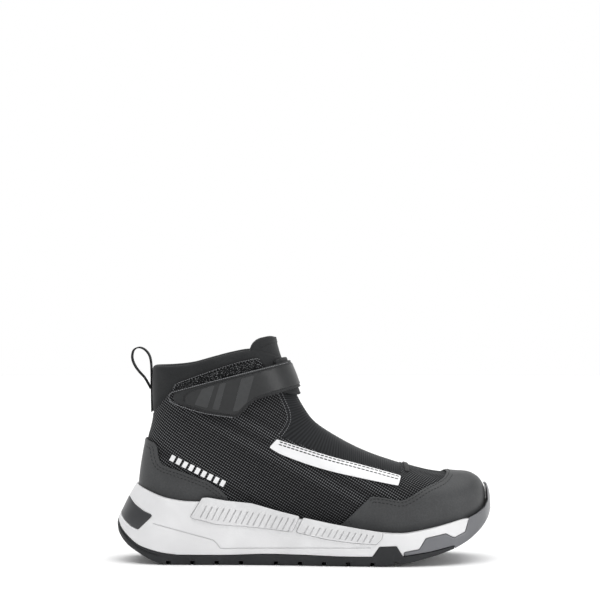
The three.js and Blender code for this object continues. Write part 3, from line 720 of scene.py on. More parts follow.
# woven polyester mesh, a dark warp and weft whose raised knots carry a painted highlight: to the eye a matt
# near-black cloth with slanted rows of fine grey dots, stronger in some zones than in others
def makeWovenMesh(look):
    material, tree, shader = startMaterial("wovenPolyesterMesh", Roughness=0.82, Sheen_Weight=0.03,
                                           Sheen_Roughness=0.6, IOR=1.5, Specular_IOR_Level=0.12)
    cloth = addNode(tree, "ShaderNodeUVMap", uv_map="unrolled").outputs["UV"]
    weave = addNode(tree, "ShaderNodeMapping",
                    {"Vector": cloth, "Rotation": (0, 0, math.radians(look["turn"]))})
    weft = addNode(tree, "ShaderNodeTexWave", {"Vector": weave.outputs["Vector"],
                                               "Scale": waveScale(look["weftPitch"])}, bands_direction="Y")
    warp = addNode(tree, "ShaderNodeTexWave", {"Vector": weave.outputs["Vector"],
                                               "Scale": waveScale(look["warpPitch"])}, bands_direction="X")
    under = addNode(tree, "ShaderNodeMapRange", {"Value": warp.outputs["Fac"], "To Min": look["between"]})
    knots = addNode(tree, "ShaderNodeMath", {0: weft.outputs["Fac"], 1: under.outputs["Result"]},
                    operation="MULTIPLY")
    dots = addNode(tree, "ShaderNodeMapRange", {"Value": knots.outputs[0], "From Min": 0.3, "From Max": 0.8})
    # broad chevrons, where the jacquard brings the knots, and so their painted highlight, up more or less
    slanted = addNode(tree, "ShaderNodeMapping", {"Vector": cloth, "Rotation": (0, 0, math.radians(-62))})
    fold = addNode(tree, "ShaderNodeTexWave", {"Vector": slanted.outputs["Vector"],
                                               "Scale": waveScale(look["chevronWidth"])}, wave_profile="TRI")
    shift = addNode(tree, "ShaderNodeMath", {0: fold.outputs["Fac"], 1: 7.0}, operation="MULTIPLY")
    leaning = addNode(tree, "ShaderNodeMapping", {"Vector": cloth, "Rotation": (0, 0, math.radians(24))})
    zones = addNode(tree, "ShaderNodeTexWave", {
        "Vector": leaning.outputs["Vector"], "Scale": waveScale(look["chevronPitch"]),
        "Phase Offset": shift.outputs[0]}, bands_direction="Y")
    uneven = addNode(tree, "ShaderNodeTexNoise",
                     {"Vector": cloth, "Scale": 1 / look["uneven"], "Detail": 3.0})
    strength = addNode(tree, "ShaderNodeMath", {0: zones.outputs["Fac"], 1: 0.45, 2: 0.18},
                       operation="MULTIPLY_ADD")
    strength = addNode(tree, "ShaderNodeMath", {0: uneven.outputs["Fac"], 1: 0.75, 2: strength.outputs[0]},
                       operation="MULTIPLY_ADD")
    light = addNode(tree, "ShaderNodeMath", {0: dots.outputs["Result"], 1: strength.outputs[0]},
                    operation="MULTIPLY", use_clamp=True)
    # painted highlight: the cloth's colour is lightened on the tops of the raised knots
    colour = addNode(tree, "ShaderNodeMix",
                     {0: light.outputs[0], 6: srgb(look["ground"]), 7: srgb(look["knotHighlight"])}, data_type="RGBA")
    relief = addNode(tree, "ShaderNodeBump",
                     {"Height": knots.outputs[0], "Distance": 0.3 * mm, "Strength": 0.8})
    linkShader(tree, shader, Base_Color=colour.outputs[2], Normal=relief.outputs["Normal"])
    return material


# rib-knitted elastane, machine knitted: fine matt ribs across the instep, whose nap lightens them
# where the cloth turns away
def makeRibKnit(look):
    material, tree, shader = startMaterial("ribKnittedElastane", Roughness=0.75, Sheen_Weight=0.3,
                                           Sheen_Roughness=0.32, Sheen_Tint=srgb("#b9babc"), IOR=1.48,
                                           Specular_IOR_Level=0.15)
    cloth = addNode(tree, "ShaderNodeUVMap", uv_map="ribMap").outputs["UV"]
    ribs = addNode(tree, "ShaderNodeTexWave", {"Vector": cloth, "Scale": waveScale(look["ribPitch"]),
                                               "Distortion": 0.2, "Detail": 1.0})
    loops = addNode(tree, "ShaderNodeTexWave", {"Vector": cloth, "Scale": waveScale(look["loopPitch"])},
                    bands_direction="Y")
    knit = addNode(tree, "ShaderNodeMath", {0: loops.outputs["Fac"], 1: 0.12, 2: ribs.outputs["Fac"]},
                   operation="MULTIPLY_ADD")
    colour = addNode(tree, "ShaderNodeMix",
                     {0: knit.outputs[0], 6: srgb(look["valley"]), 7: srgb(look["crest"])}, data_type="RGBA")
    relief = addNode(tree, "ShaderNodeBump",
                     {"Height": knit.outputs[0], "Distance": 0.35 * mm, "Strength": 0.7})
    linkShader(tree, shader, Base_Color=colour.outputs[2], Normal=relief.outputs["Normal"])
    return material


# brushed knitted polyester, on foam or as a lining: matt and soft, its loops just show as a fine grain
# (they are nearer 0.3 mm, and are drawn as coarse as they need to show)
def makeJersey(name, look):
    material, tree, shader = startMaterial(name, Roughness=look["roughness"], Sheen_Weight=look["sheen"],
                                           Sheen_Roughness=0.4, IOR=1.48, Specular_IOR_Level=0.2)
    at = addNode(tree, "ShaderNodeTexCoord").outputs["Object"]
    loops = addNode(tree, "ShaderNodeTexNoise",
                    {"Vector": at, "Scale": 1 / (look["loop"] * mm), "Detail": 2.0})
    wear = addNode(tree, "ShaderNodeTexNoise", {"Vector": at, "Scale": 1 / (22 * mm), "Detail": 2.0})
    shade = addNode(tree, "ShaderNodeMath", {0: wear.outputs["Fac"], 1: 0.6, 2: loops.outputs["Fac"]},
                    operation="MULTIPLY_ADD")
    level = addNode(tree, "ShaderNodeMapRange", {"Value": shade.outputs[0], "From Min": 0.5, "From Max": 1.1})
    colour = addNode(tree, "ShaderNodeMix", {0: level.outputs["Result"], 6: srgb(look["dark"]),
                                             7: srgb(look["light"])}, data_type="RGBA")
    relief = addNode(tree, "ShaderNodeBump", {"Height": loops.outputs["Fac"], "Distance": 0.16 * mm,
                                              "Strength": 0.7})
    linkShader(tree, shader, Base_Color=colour.outputs[2], Normal=relief.outputs["Normal"])
    return material


# microfibre with a polyurethane skin, embossed or cast smooth: an even dark grey, with a fine pebble
# grain and slightly uneven shine
def makeMicrofibre(name, look):
    material, tree, shader = startMaterial(name, IOR=1.5, Sheen_Weight=look["sheen"], Sheen_Roughness=0.45,
                                           Specular_IOR_Level=look["shine"])
    at = addNode(tree, "ShaderNodeTexCoord").outputs["Object"]
    pebbles = addNode(tree, "ShaderNodeTexVoronoi", {"Vector": at, "Scale": 1 / (look["grain"] * mm)},
                      feature="SMOOTH_F1")
    dust = addNode(tree, "ShaderNodeTexNoise", {"Vector": at, "Scale": 1 / (0.7 * mm), "Detail": 3.0})
    wear = addNode(tree, "ShaderNodeTexNoise", {"Vector": at, "Scale": 1 / (26 * mm), "Detail": 3.0})
    shade = addNode(tree, "ShaderNodeMath", {0: pebbles.outputs["Distance"], 1: 0.35}, operation="MULTIPLY")
    shade = addNode(tree, "ShaderNodeMath", {0: dust.outputs["Fac"], 1: 0.3, 2: shade.outputs[0]},
                    operation="MULTIPLY_ADD")
    shade = addNode(tree, "ShaderNodeMath", {0: wear.outputs["Fac"], 1: 0.45, 2: shade.outputs[0]},
                    operation="MULTIPLY_ADD")
    level = addNode(tree, "ShaderNodeMapRange", {"Value": shade.outputs[0], "From Min": 0.3, "From Max": 0.8})
    colour = addNode(tree, "ShaderNodeMix", {0: level.outputs["Result"], 6: srgb(look["dark"]),
                                             7: srgb(look["light"])}, data_type="RGBA")
    rough = addNode(tree, "ShaderNodeMapRange", {
        "Value": dust.outputs["Fac"], "From Min": 0.2, "From Max": 0.8,
        "To Min": look["roughness"] - 0.07, "To Max": look["roughness"] + 0.09})
    powder = addNode(tree, "ShaderNodeBump", {"Height": dust.outputs["Fac"], "Distance": 0.08 * mm,
                                              "Strength": 0.4})
    relief = addNode(tree, "ShaderNodeBump", {"Height": pebbles.outputs["Distance"], "Distance": 0.1 * mm,
                                              "Strength": 0.45, "Normal": powder.outputs["Normal"]})
    linkShader(tree, shader, Base_Color=colour.outputs[2], Roughness=rough.outputs["Result"],
               Normal=relief.outputs["Normal"])
    return material


# moulded EVA foam, rubber, plastic or board: one even colour with faint flow marks, and the fine
# spark-eroded texture of the mould, which spreads the shine
def makeMoulded(name, look):
    material, tree, shader = startMaterial(name, IOR=1.5, Coat_Weight=look.get("coat", 0.0),
                                           Coat_Roughness=0.25, Specular_IOR_Level=look.get("shine", 0.5))
    at = addNode(tree, "ShaderNodeTexCoord").outputs["Object"]
    grit = addNode(tree, "ShaderNodeTexNoise",
                   {"Vector": at, "Scale": 1 / (look["grit"] * mm), "Detail": 2.0})
    flow = addNode(tree, "ShaderNodeTexNoise", {"Vector": at, "Scale": 1 / (35 * mm), "Detail": 2.0,
                                                "Distortion": 0.6})
    level = addNode(tree, "ShaderNodeMapRange",
                    {"Value": flow.outputs["Fac"], "From Min": 0.35, "From Max": 0.7})
    colour = addNode(tree, "ShaderNodeMix", {0: level.outputs["Result"], 6: srgb(look["dark"]),
                                             7: srgb(look["light"])}, data_type="RGBA")
    rough = addNode(tree, "ShaderNodeMapRange", {
        "Value": grit.outputs["Fac"], "From Min": 0.3, "From Max": 0.7,
        "To Min": look["roughness"] - look["spread"], "To Max": look["roughness"] + look["spread"]})
    relief = addNode(tree, "ShaderNodeBump", {"Height": grit.outputs["Fac"], "Distance": look["relief"] * mm,
                                              "Strength": 0.6})
    linkShader(tree, shader, Base_Color=colour.outputs[2], Roughness=rough.outputs["Result"],
               Normal=relief.outputs["Normal"])
    return material


# brushed nylon pile of a touch fastener: a dark felt of tiny loops, some of which catch the light
def makePile(name, look):
    material, tree, shader = startMaterial(name, Roughness=0.9, Sheen_Weight=0.02, IOR=1.53,
                                           Specular_IOR_Level=0.1)
    cloth = addNode(tree, "ShaderNodeUVMap", uv_map="unrolled").outputs["UV"]
    loops = addNode(tree, "ShaderNodeTexVoronoi", {"Vector": cloth, "Scale": 1 / look["loop"]})
    tangle = addNode(tree, "ShaderNodeTexNoise",
                     {"Vector": cloth, "Scale": 0.9 / look["loop"], "Detail": 4.0})
    tips = addNode(tree, "ShaderNodeMapRange", {"Value": loops.outputs["Distance"], "From Min": 0.42,
                                                "From Max": 0.12})
    patchy = addNode(tree, "ShaderNodeMapRange", {"Value": tangle.outputs["Fac"], "From Min": 0.42,
                                                  "From Max": 0.6})
    light = addNode(tree, "ShaderNodeMath", {0: tips.outputs["Result"], 1: patchy.outputs["Result"]},
                    operation="MULTIPLY")
    colour = addNode(tree, "ShaderNodeMix",
                     {0: light.outputs[0], 6: srgb(look["dark"]), 7: srgb(look["light"])}, data_type="RGBA")
    relief = addNode(tree, "ShaderNodeBump", {"Height": tangle.outputs["Fac"], "Distance": 0.6 * mm,
                                              "Strength": 0.9})
    linkShader(tree, shader, Base_Color=colour.outputs[2], Normal=relief.outputs["Normal"])
    return material


# polyester webbing, woven on a narrow loom: ribs across the tape in a coarse twill, matt black
def makeWebbing(look):
    material, tree, shader = startMaterial("wovenPolyesterWebbing", Roughness=0.8, Sheen_Weight=0.04, IOR=1.5,
                                           Specular_IOR_Level=0.15)
    at = addNode(tree, "ShaderNodeTexCoord").outputs["Object"]
    ribs = addNode(tree, "ShaderNodeTexWave", {"Vector": at, "Scale": waveScale(look["ribPitch"] * mm)},
                   bands_direction="Z")
    ends = addNode(tree, "ShaderNodeTexWave", {"Vector": at, "Scale": waveScale(look["endPitch"] * mm)},
                   bands_direction="Y")
    weave = addNode(tree, "ShaderNodeMath", {0: ribs.outputs["Fac"], 1: ends.outputs["Fac"]},
                    operation="MULTIPLY")
    colour = addNode(tree, "ShaderNodeMix",
                     {0: weave.outputs[0], 6: srgb(look["dark"]), 7: srgb(look["light"])}, data_type="RGBA")
    relief = addNode(tree, "ShaderNodeBump",
                     {"Height": weave.outputs[0], "Distance": 0.2 * mm, "Strength": 0.7})
    linkShader(tree, shader, Base_Color=colour.outputs[2], Normal=relief.outputs["Normal"])
    return material


# bonded polyester thread, twisted from three plies: a thin satin line with a slanted twist
# (the twist is nearer 0.3 mm, and is drawn as coarse as it needs to show)
def makeThread(name, look):
    material, tree, shader = startMaterial(name, Roughness=0.6, Sheen_Weight=0.05, IOR=1.5,
                                           Specular_IOR_Level=0.25)
    at = addNode(tree, "ShaderNodeTexCoord").outputs["Object"]
    plies = addNode(tree, "ShaderNodeTexWave", {"Vector": at, "Scale": waveScale(look["ply"] * mm)},
                    bands_direction="DIAGONAL")
    colour = addNode(tree, "ShaderNodeMix", {0: plies.outputs["Fac"], 6: srgb(look["dark"]),
                                             7: srgb(look["light"])}, data_type="RGBA")
    relief = addNode(tree, "ShaderNodeBump", {"Height": plies.outputs["Fac"], "Distance": 0.08 * mm,
                                              "Strength": 0.5})
    linkShader(tree, shader, Base_Color=colour.outputs[2], Normal=relief.outputs["Normal"])
    return material


# spring steel strip, cold rolled: bright grey, with fine lines along its length
def makeSpringSteel(look):
    material, tree, shader = startMaterial("coldRolledSpringSteel", Metallic=1.0)
    at = addNode(tree, "ShaderNodeTexCoord").outputs["Object"]
    drawnOut = addNode(tree, "ShaderNodeMapping", {"Vector": at, "Scale": look["lines"]})
    lines = addNode(tree, "ShaderNodeTexNoise", {"Vector": drawnOut.outputs["Vector"], "Scale": 1.0})
    colour = addNode(tree, "ShaderNodeMix", {0: lines.outputs["Fac"], 6: srgb(look["dark"]),
                                             7: srgb(look["light"])}, data_type="RGBA")
    rough = addNode(tree, "ShaderNodeMapRange", {"Value": lines.outputs["Fac"], "From Min": 0.2,
                                                 "From Max": 0.8, "To Min": 0.25, "To Max": 0.42})
    linkShader(tree, shader, Base_Color=colour.outputs[2], Roughness=rough.outputs["Result"])
    return material


# colours, and sizes in millimetres
looks = {
    # the mesh's lighter colour is a painted highlight on its raised knots
    "mesh": {"turn": 32, "weftPitch": 2.0, "warpPitch": 1.8, "between": 0.3, "chevronWidth": 58,
             "chevronPitch": 30, "uneven": 1.2, "ground": "#060607", "knotHighlight": "#6a6c6e"},
    "gusset": {"ribPitch": 1.8, "loopPitch": 1.2, "valley": "#161718", "crest": "#27282a"},
    "collar": {"dark": "#1b1c1d", "light": "#2a2b2c", "roughness": 0.75, "sheen": 0.1, "loop": 0.8},
    "lining": {"dark": "#17181a", "light": "#232427", "roughness": 0.9, "sheen": 0.05, "loop": 1.0},
    "footbed": {"dark": "#2e3033", "light": "#45474b", "roughness": 0.9, "sheen": 0.05, "loop": 1.2},
    "cover": {"dark": "#2e2f30", "light": "#404142", "roughness": 0.5, "sheen": 0.05, "grain": 1.1,
              "shine": 0.35},
    "strap": {"dark": "#1d1e1f", "light": "#303132", "roughness": 0.62, "sheen": 0.05, "grain": 1.0,
              "shine": 0.25},
    "film": {"dark": "#1a1b1c", "light": "#232425", "roughness": 0.36, "sheen": 0.0, "grain": 3.0,
             "shine": 0.35},
    "facet": {"dark": "#2a2b2c", "light": "#343536", "roughness": 0.34, "sheen": 0.0, "grain": 3.0,
              "shine": 0.4},
    "loops": {"loop": 0.8, "dark": "#121314", "light": "#a0a1a3"},
    "hooks": {"loop": 0.9, "dark": "#101112", "light": "#3a3b3d"},
    "foam": {"dark": "#d0d0d1", "light": "#dadadb", "roughness": 0.55, "spread": 0.06, "grit": 0.6,
             "relief": 0.05},
    "rail": {"dark": "#c6c6c7", "light": "#d2d2d3", "roughness": 0.5, "spread": 0.05, "grit": 0.6,
             "relief": 0.04},
    "rubber": {"dark": "#1d1e20", "light": "#28292b", "roughness": 0.55, "spread": 0.08, "grit": 0.8,
               "relief": 0.08, "shine": 0.3},
    "bumper": {"dark": "#545558", "light": "#646569", "roughness": 0.36, "spread": 0.05, "grit": 0.7,
               "relief": 0.04, "shine": 0.5, "coat": 0.2},
    "inlay": {"dark": "#2b2c2e", "light": "#37383b", "roughness": 0.36, "spread": 0.05, "grit": 0.7,
              "relief": 0.04, "shine": 0.4, "coat": 0.15},
    "stripe": {"dark": "#dcdcdd", "light": "#e8e8e9", "roughness": 0.42, "spread": 0.05, "grit": 0.5,
               "relief": 0.03},
    "webbing": {"ribPitch": 1.4, "endPitch": 0.9, "dark": "#191a1b", "light": "#2c2d2e"},
    "blackThread": {"ply": 0.7, "dark": "#141415", "light": "#232324"},
    "greyThreadAndEdgeHighlight": {"ply": 0.7, "dark": "#6d6e70", "light": "#8e8f91"},
    "board": {"dark": "#a99a7c", "light": "#c2b291", "roughness": 0.9, "spread": 0.05, "grit": 1.2,
              "relief": 0.1},
    "stiffener": {"dark": "#85888d", "light": "#999ca1", "roughness": 0.8, "spread": 0.06, "grit": 0.9,
                  "relief": 0.06},
    "steel": {"lines": (60, 2500, 2500), "dark": "#9c9fa3", "light": "#c9ccd0"},
}
wovenMesh = makeWovenMesh(looks["mesh"])
ribKnit = makeRibKnit(looks["gusset"])
collarJersey = makeJersey("bondedPolyesterJersey", looks["collar"])
liningCloth = makeJersey("brushedTricotLining", looks["lining"])
footbedCloth = makeJersey("needledPolyesterFelt", looks["footbed"])
coverMicrofibre = makeMicrofibre("embossedMicrofibre", looks["cover"])
strapMicrofibre = makeMicrofibre("grainedMicrofibre", looks["strap"])
strapFilm = makeMicrofibre("castPolyurethaneFilm", looks["film"])
strapFacet = makeMicrofibre("printedPolyurethaneFilm", looks["facet"])
loopPile = makePile("brushedNylonLoops", looks["loops"])
hookTape = makePile("wovenNylonHooks", looks["hooks"])
whiteFoam = makeMoulded("mouldedEvaFoam", looks["foam"])
whiteRail = makeMoulded("mouldedWhitePolyurethane", looks["rail"])
soleRubber = makeMoulded("mouldedCarbonRubber", looks["rubber"])
bumperPlastic = makeMoulded("mouldedGreyPolyurethane", looks["bumper"])
inlayPlastic = makeMoulded("mouldedDarkPolyurethane", looks["inlay"])
whiteFilm = makeMoulded("weldedPolyurethaneFilm", looks["stripe"])
webbing = makeWebbing(looks["webbing"])
darkThread = makeThread("blackBondedThread", looks["blackThread"])
greyThreadAndEdgeHighlight = makeThread("greyThreadAndPaintedEdgeHighlight", looks["greyThreadAndEdgeHighlight"])
fibreBoard = makeMoulded("pressedFibreBoard", looks["board"])
stiffenerSheet = makeMoulded("pressedStiffenerSheet", looks["stiffener"])
springSteel = makeSpringSteel(looks["steel"])
print("materials ready:", len(bpy.data.materials))

# every node of the frame gets its finish, also those that a piece stands in for
finishes = [
    (soleRubber, "outsole"), (whiteFoam, "midsole"), (bumperPlastic, "toe_bumper"),
    (inlayPlastic, "heel_band"), (whiteRail, "side_rail_lateral_rear side_rail_lateral_front"),
    (whiteRail, "side_rail_medial_rear side_rail_medial_front"),
    (springSteel, "shank"), (fibreBoard, "insole_board"), (footbedCloth, "footbed"),
    (wovenMesh, "quarter_lateral quarter_medial"), (ribKnit, "instep_gusset"), (liningCloth, "lining_bootie"),
    (collarJersey, "ankle_collar tongue_tab"), (coverMicrofibre, "toe_cap heel_cover"),
    (stiffenerSheet, "collar_foam heel_counter toe_puff ankle_pad_lateral ankle_pad_medial"),
    (whiteFilm, "reflective_stripe_lateral reflective_stripe_medial"),
    (loopPile, "loop_pile_field instep_pad"), (strapMicrofibre, "strap_base strap_flap"),
    (strapFilm, "strap_patch"), (hookTape, "hook_pad"), (webbing, "pull_loop pull_loop_tape"),
]
for material, names in finishes:
    for name in names.split():
        frame["nodes"][name].data.materials.clear()
        frame["nodes"][name].data.materials.append(material)

# the sole unit
foam = {
    "crease": [[(-118.7, 32.6), (-71, 20)], [(-71, 20), (-65.2, 13.2)],
               [(-65.2, 13.2), (-3.2, 14.2), (52, 15)]],
    "creaseWidth": 0.8, "creaseDepth": 0.7, "edge": 0.7, "cupGap": 0.3, "underCover": -1.9, "partGap": 0.3,
}
bumperShape = {
    "outline": [(77.9, 8.6), (77.9, 11.5), (89.9, 13.6), (95, 22.2), (110.8, 25.3), (117.5, 21.7),
                (126.7, 25.8), (129.9, 36.6), (136.5, 39.3), (143.5, 43.6), (146.5, 48.5), (146.3, 57.5),
                (145, 61.5), (190, 61.5), (190, -20), (118.25, -20), (118.25, 15.9), (99, 11.7)],
    "wall": 3, "fill": 43, "edge": 0.8, "underCover": -1.63,
}
bandShape = {
    "outline": [(-190, 54), (-139.5, 51.1), (-134, 46), (-126.5, 41.5), (-119.1, 38.8), (-130.9, 27.5),
                (-136, 29.5), (-141.6, 33.4), (-146.4, 38.5), (-190, 41)],
    "thickness": 2.6, "edge": 0.5,
}
railShape = {
    "rear": {"outline": [(-89.5, 37.5), (-80, 52.8), (-75.6, 53.1), (-61.4, 50.7), (-40.9, 48.6),
                         (-20.4, 42.9), (-3.6, 38.9), (-6.2, 33), (-9.4, 26.8), (-39, 30.2), (-68.2, 32.2)],
             "ribs": 16, "start": (-82, 37.3), "drop": 0.66, "slant": (5, 9.5)},
    "front": {"outline": [(-6.4, 26.6), (-3.2, 33), (-0.8, 38), (20.5, 33.7), (40.9, 30.2), (61.4, 26.9),
                          (60.4, 22), (56.1, 17.6), (37.7, 18.7), (17.2, 21.3)],
              "ribs": 12, "start": (-0.5, 25.6), "drop": 0.6, "slant": (3.4, 6)},
    "proud": 1.5, "sunk": 1.6, "pitch": 4.6, "grooveDepth": 0.95, "grooveWidth": 1.0, "edge": 0.6,
    "middle": 0.2,
}
tread = {"depth": 3.2, "groove": 3.4, "count": 10, "first": -104, "pitch": 19, "point": 7, "edge": 0.5,
         "turned": 4, "ridgeWidth": 0.9, "ridgeDepth": 0.6,
         "ridge": [[(-148, 29), (-143.5, 23.6), (-137, 17.4), (-127, 11.4), (-114, 7.2)]]}


def sidePrism(points, grownBy=0.0):
    outline = softCorners(place(points), sole["corner"])
    return addPrism(grow(outline, grownBy) if grownBy else outline)


groundLine = outlineOf([[(-190, 31.4), (-149.4, 31.4)], sole["groundHeel"], [(-108, 0), (60, 0)],
                        sole["groundToe"], sole["bumperFoot"], [(150, 47), (190, 47)]], 2)
outsoleLine = outlineOf([[(-190, 36.6), (-149, 35)], sole["outsoleHeel"], sole["outsoleSide"]]
                        + [list(pair) for pair in zip(sole["outsoleTab"], sole["outsoleTab"][1:])]
                        + [sole["outsoleToe"]], 2)
outsoleToe = max(i for i, (x, z) in enumerate(groundLine) if x < 118.2 * scale[0]) + 1


def aboveGround(amount):
    return addPrism([(x, z + amount) for x, z in groundLine] + [(380, 400), (-380, 400)])


def bumperCore(clearance):
    core = addForm("core", -bumperShape["wall"] - clearance)
    cut(core, aboveGround(bumperShape["wall"] + clearance), "INTERSECT")
    top = bumperShape["fill"] * scale[2] - clearance
    return cut(core, addPrism([(-190, -20), (190, -20), (190, top), (-190, top)]), "INTERSECT")


def lastRoom(depth, points):
    return cut(addLast("room", depth), sidePrism(points, 0.8), "INTERSECT")


def makeOutsole():
    piece = addForm("outsole", 0)
    cut(piece, addPrism(softCorners(groundLine[:outsoleToe] + outsoleLine[::-1], sole["corner"])),
        "INTERSECT")
    roundEdges(piece, tread["edge"], 34)
    for i in range(tread["count"]):
        x = (tread["first"] + i * tread["pitch"]) * scale[0]
        point = tread["point"] * (-1 if i < tread["turned"] else 1)
        floor = max(0, np.interp(x, *np.array(groundLine).T))
        bend = midline(x)
        bottom, width = floor - 10, tread["groove"]
        deselect()
        bpy.ops.mesh.primitive_plane_add(size=1)
        groove = bpy.context.object
        moveVertices(groove, [(x, -100, bottom), (x + width, -100, bottom),
                              (x + point, bend, bottom), (x + point + width, bend, bottom)])
        deselectMesh(groove)
        for edge in groove.data.edges:
            edge.select = all(abs(groove.data.vertices[v].co.y - bend * mm) < 1e-6 for v in edge.vertices)
        pick(groove)
        bpy.ops.object.mode_set(mode="EDIT")
        bpy.ops.mesh.select_mode(type="EDGE")
        outwards = (-point * mm, (100 - bend) * mm, 0)
        bpy.ops.mesh.extrude_region_move(TRANSFORM_OT_translate={"value": outwards})
        bpy.ops.mesh.select_mode(type="VERT")
        bpy.ops.mesh.select_all(action="SELECT")
        bpy.ops.mesh.extrude_region_move(TRANSFORM_OT_translate={"value": (0, 0, (tread["depth"] + 10) * mm)})
        bpy.ops.mesh.select_all(action="SELECT")
        bpy.ops.mesh.normals_make_consistent(inside=False)
        bpy.ops.object.mode_set(mode="OBJECT")
        cut(piece, groove)
    ridge = addPrism(thinLine(tread["ridge"], tread["ridgeWidth"]))
    cut(piece, cut(ridge, addForm("ridgeFloor", -tread["ridgeDepth"])))
    return shadeSmooth(piece)


# the covers' edges are used here too, because the foam is cut away under them
capTop = [(50.8, 53.3), (53.9, 54.5), (64.3, 53.3), (74.8, 51.5), (81.7, 53.7), (94.8, 61), (107.9, 66.2),
          (114, 71)]
toeCapRoom = [(30.4, 32.8)] + capTop + [(115, 90), (190, 90), (190, 38), (140, 37), (123, 28), (102, 22.5),
                                        (76, 19), (40, 21.5), (22, 24.5)]
heelCoverRoom = [(-190, 98.1), (-127.8, 98.1), (-121.1, 95.4), (-117.1, 92.6), (-115.9, 83.1), (-111.3, 77.5),
                 (-94.7, 72), (-76.3, 65.3), (-65.6, 58), (-60.3, 51.2), (-59, 39), (-190, 39)]


def foamRegion(lift):
    line = smoothLine(place(sole["midsoleTop"][1:-1]), 120)
    upperLine = [(190, 43 * scale[2])] + line[::-1] + [(-190, 63 * scale[2])]
    lower = [(x, z + sole["joinGap"] + lift) for x, z in outsoleLine]
    toe = [(x, z + lift) for x, z in groundLine[outsoleToe:] if x < 149.5 * scale[0]]
    return addPrism(softCorners(lower + toe + [(190, 41 * scale[2])] + upperLine, sole["corner"]))


# the wall is rounded first, then filled, and hollowed for the foot and the parts set into it
def makeMidsole():
    piece = cut(addForm("midsole", 0), foamRegion(0), "INTERSECT")
    bumperRoom = bumperShape["outline"][1:8] + [(131, 70), (190, 70), (190, -20), (77.9, -20)]
    cut(piece, sidePrism(bumperRoom, foam["partGap"]))
    cut(piece, sidePrism(bandShape["outline"], foam["partGap"]))
    roundEdges(piece, foam["edge"], 40, 3)
    behind = bumperShape["wall"] + foam["partGap"]
    core = cut(addForm("core", -behind), foamRegion(0.6), "INTERSECT")
    cut(core, aboveGround(behind), "INTERSECT")
    cut(piece, core, "UNION")
    cut(piece, addLast("cup", -foam["cupGap"]))
    cut(piece, lastRoom(foam["underCover"], toeCapRoom))
    cut(piece, lastRoom(foam["underCover"], heelCoverRoom))
    for part in ("rear", "front"):
        room = sidePrism(railShape[part]["outline"], foam["partGap"])
        cut(piece, cut(room, addForm("rail", -railShape["sunk"] - foam["partGap"])))
    crease = addPrism(thinLine(foam["crease"], foam["creaseWidth"]))
    cut(piece, cut(crease, addForm("crease", -foam["creaseDepth"])))
    return shadeSmooth(piece, 34)


def makeBumper():
    piece = cut(addForm("bumper", 0), aboveGround(0), "INTERSECT")
    cut(piece, sidePrism(bumperShape["outline"]), "INTERSECT")
    roundEdges(piece, bumperShape["edge"], 40, 3)
    cut(piece, bumperCore(0))
    cut(piece, lastRoom(bumperShape["underCover"], toeCapRoom))
    return shadeSmooth(piece, 34)


def makeRail(part, side):
    shape = railShape[part]
    middle = railShape["middle"]
    y0, y1 = (-far, -middle) if side < 0 else (middle, far)
    piece = addWallPanel("rail", place(shape["outline"]), railShape["proud"],
                         railShape["proud"] + railShape["sunk"], railShape["edge"], y0, y1)
    grooves = []
    for i in range(shape["ribs"]):
        x, z = shape["start"][0] + i * railShape["pitch"], shape["start"][1] - i * shape["drop"]
        dx, dz = shape["slant"]
        width = railShape["grooveWidth"]
        corners = [(x, z), (x + width, z), (x + width + dx, z + dz), (x + dx, z + dz)]
        grooves.append(addPrism(place(corners), y0, y1))
    cutter = joinPieces("grooves", grooves)
    cut(cutter, addForm("floor", railShape["proud"] - railShape["grooveDepth"]))
    cut(piece, cutter)
    return shadeSmooth(piece, 40)


finishPiece(makeOutsole(), "ruggedOutsole", "shoe", soleRubber, ["outsole"])
finishPiece(makeMidsole(), "cupMidsole", "shoe", whiteFoam, ["midsole"])
finishPiece(makeBumper(), "toeBumper", "shoe", bumperPlastic, ["toe_bumper"])
finishPiece(addWallPanel("band", place(bandShape["outline"]), 0, bandShape["thickness"], bandShape["edge"]),
            "heelBand", "shoe", inlayPlastic, ["heel_band"])
for side, sideName in ((-1, "lateral"), (1, "medial")):
    for part in ("rear", "front"):
        finishPiece(makeRail(part, side), f"rail_{sideName}_{part}", "shoe", whiteRail,
                    [f"side_rail_{sideName}_{part}"])
print("sole unit ready")

# the upper
seams = {
    "quarterTop": [(-190, 117.6), (-120.6, 117.6), (-102.3, 140.1), (-99, 142.6), (-75.6, 151.3),
                   (-53.1, 158.5), (-39.2, 161.6), (-34, 160), (-28, 149)],
    "quarterFront": [(-28, 149), (-20, 133.8), (-12.9, 114.7), (-20.3, 101.2)],
    "gussetEdge": [(-20.3, 101.2), (14.4, 87.9), (40.9, 80.8), (76.3, 71.4)],
    "rim": [(-190, 156), (-121.3, 156), (-107.5, 156), (-91.4, 157.6), (-75.4, 161.6), (-59.3, 165.6),
            (-42.5, 168.4), (-30, 166.4), (-15, 161)],
}
# how deep each layer's outside lies under the last's surface (or stands off it), its thickness, and the
# radius of its edges
layers = {
    "quarter": (0.35, 1.3, 0.3), "gusset": (0.75, 1.1, 0.3), "bartack": (-0.7, 1.1, 0.5),
    "tongue": (1.25, 2.4, 1.0), "binding": (0.9, 3.1, 0.45), "lining": (4.5, 1.3, 0),
    "cover": (-1.6, 1.3, 0.35), "stripe": (-0.9, 0.8, 0.25), "loops": (-1.4, 1.1, 0.4),
    "pad": (-3.0, 2.6, 0.8), "hooks": (-2.9, 1.0, 0.3), "strap": (-5.0, 1.8, 0.5), "film": (-5.7, 0.9, 0.25),
    "facet": (-5.78, 0.3, 0), "pullFoot": (-1.4, 1.1, 0.3),
}
lateralSide, medialSide = (-far, -0.15), (0.15, far)

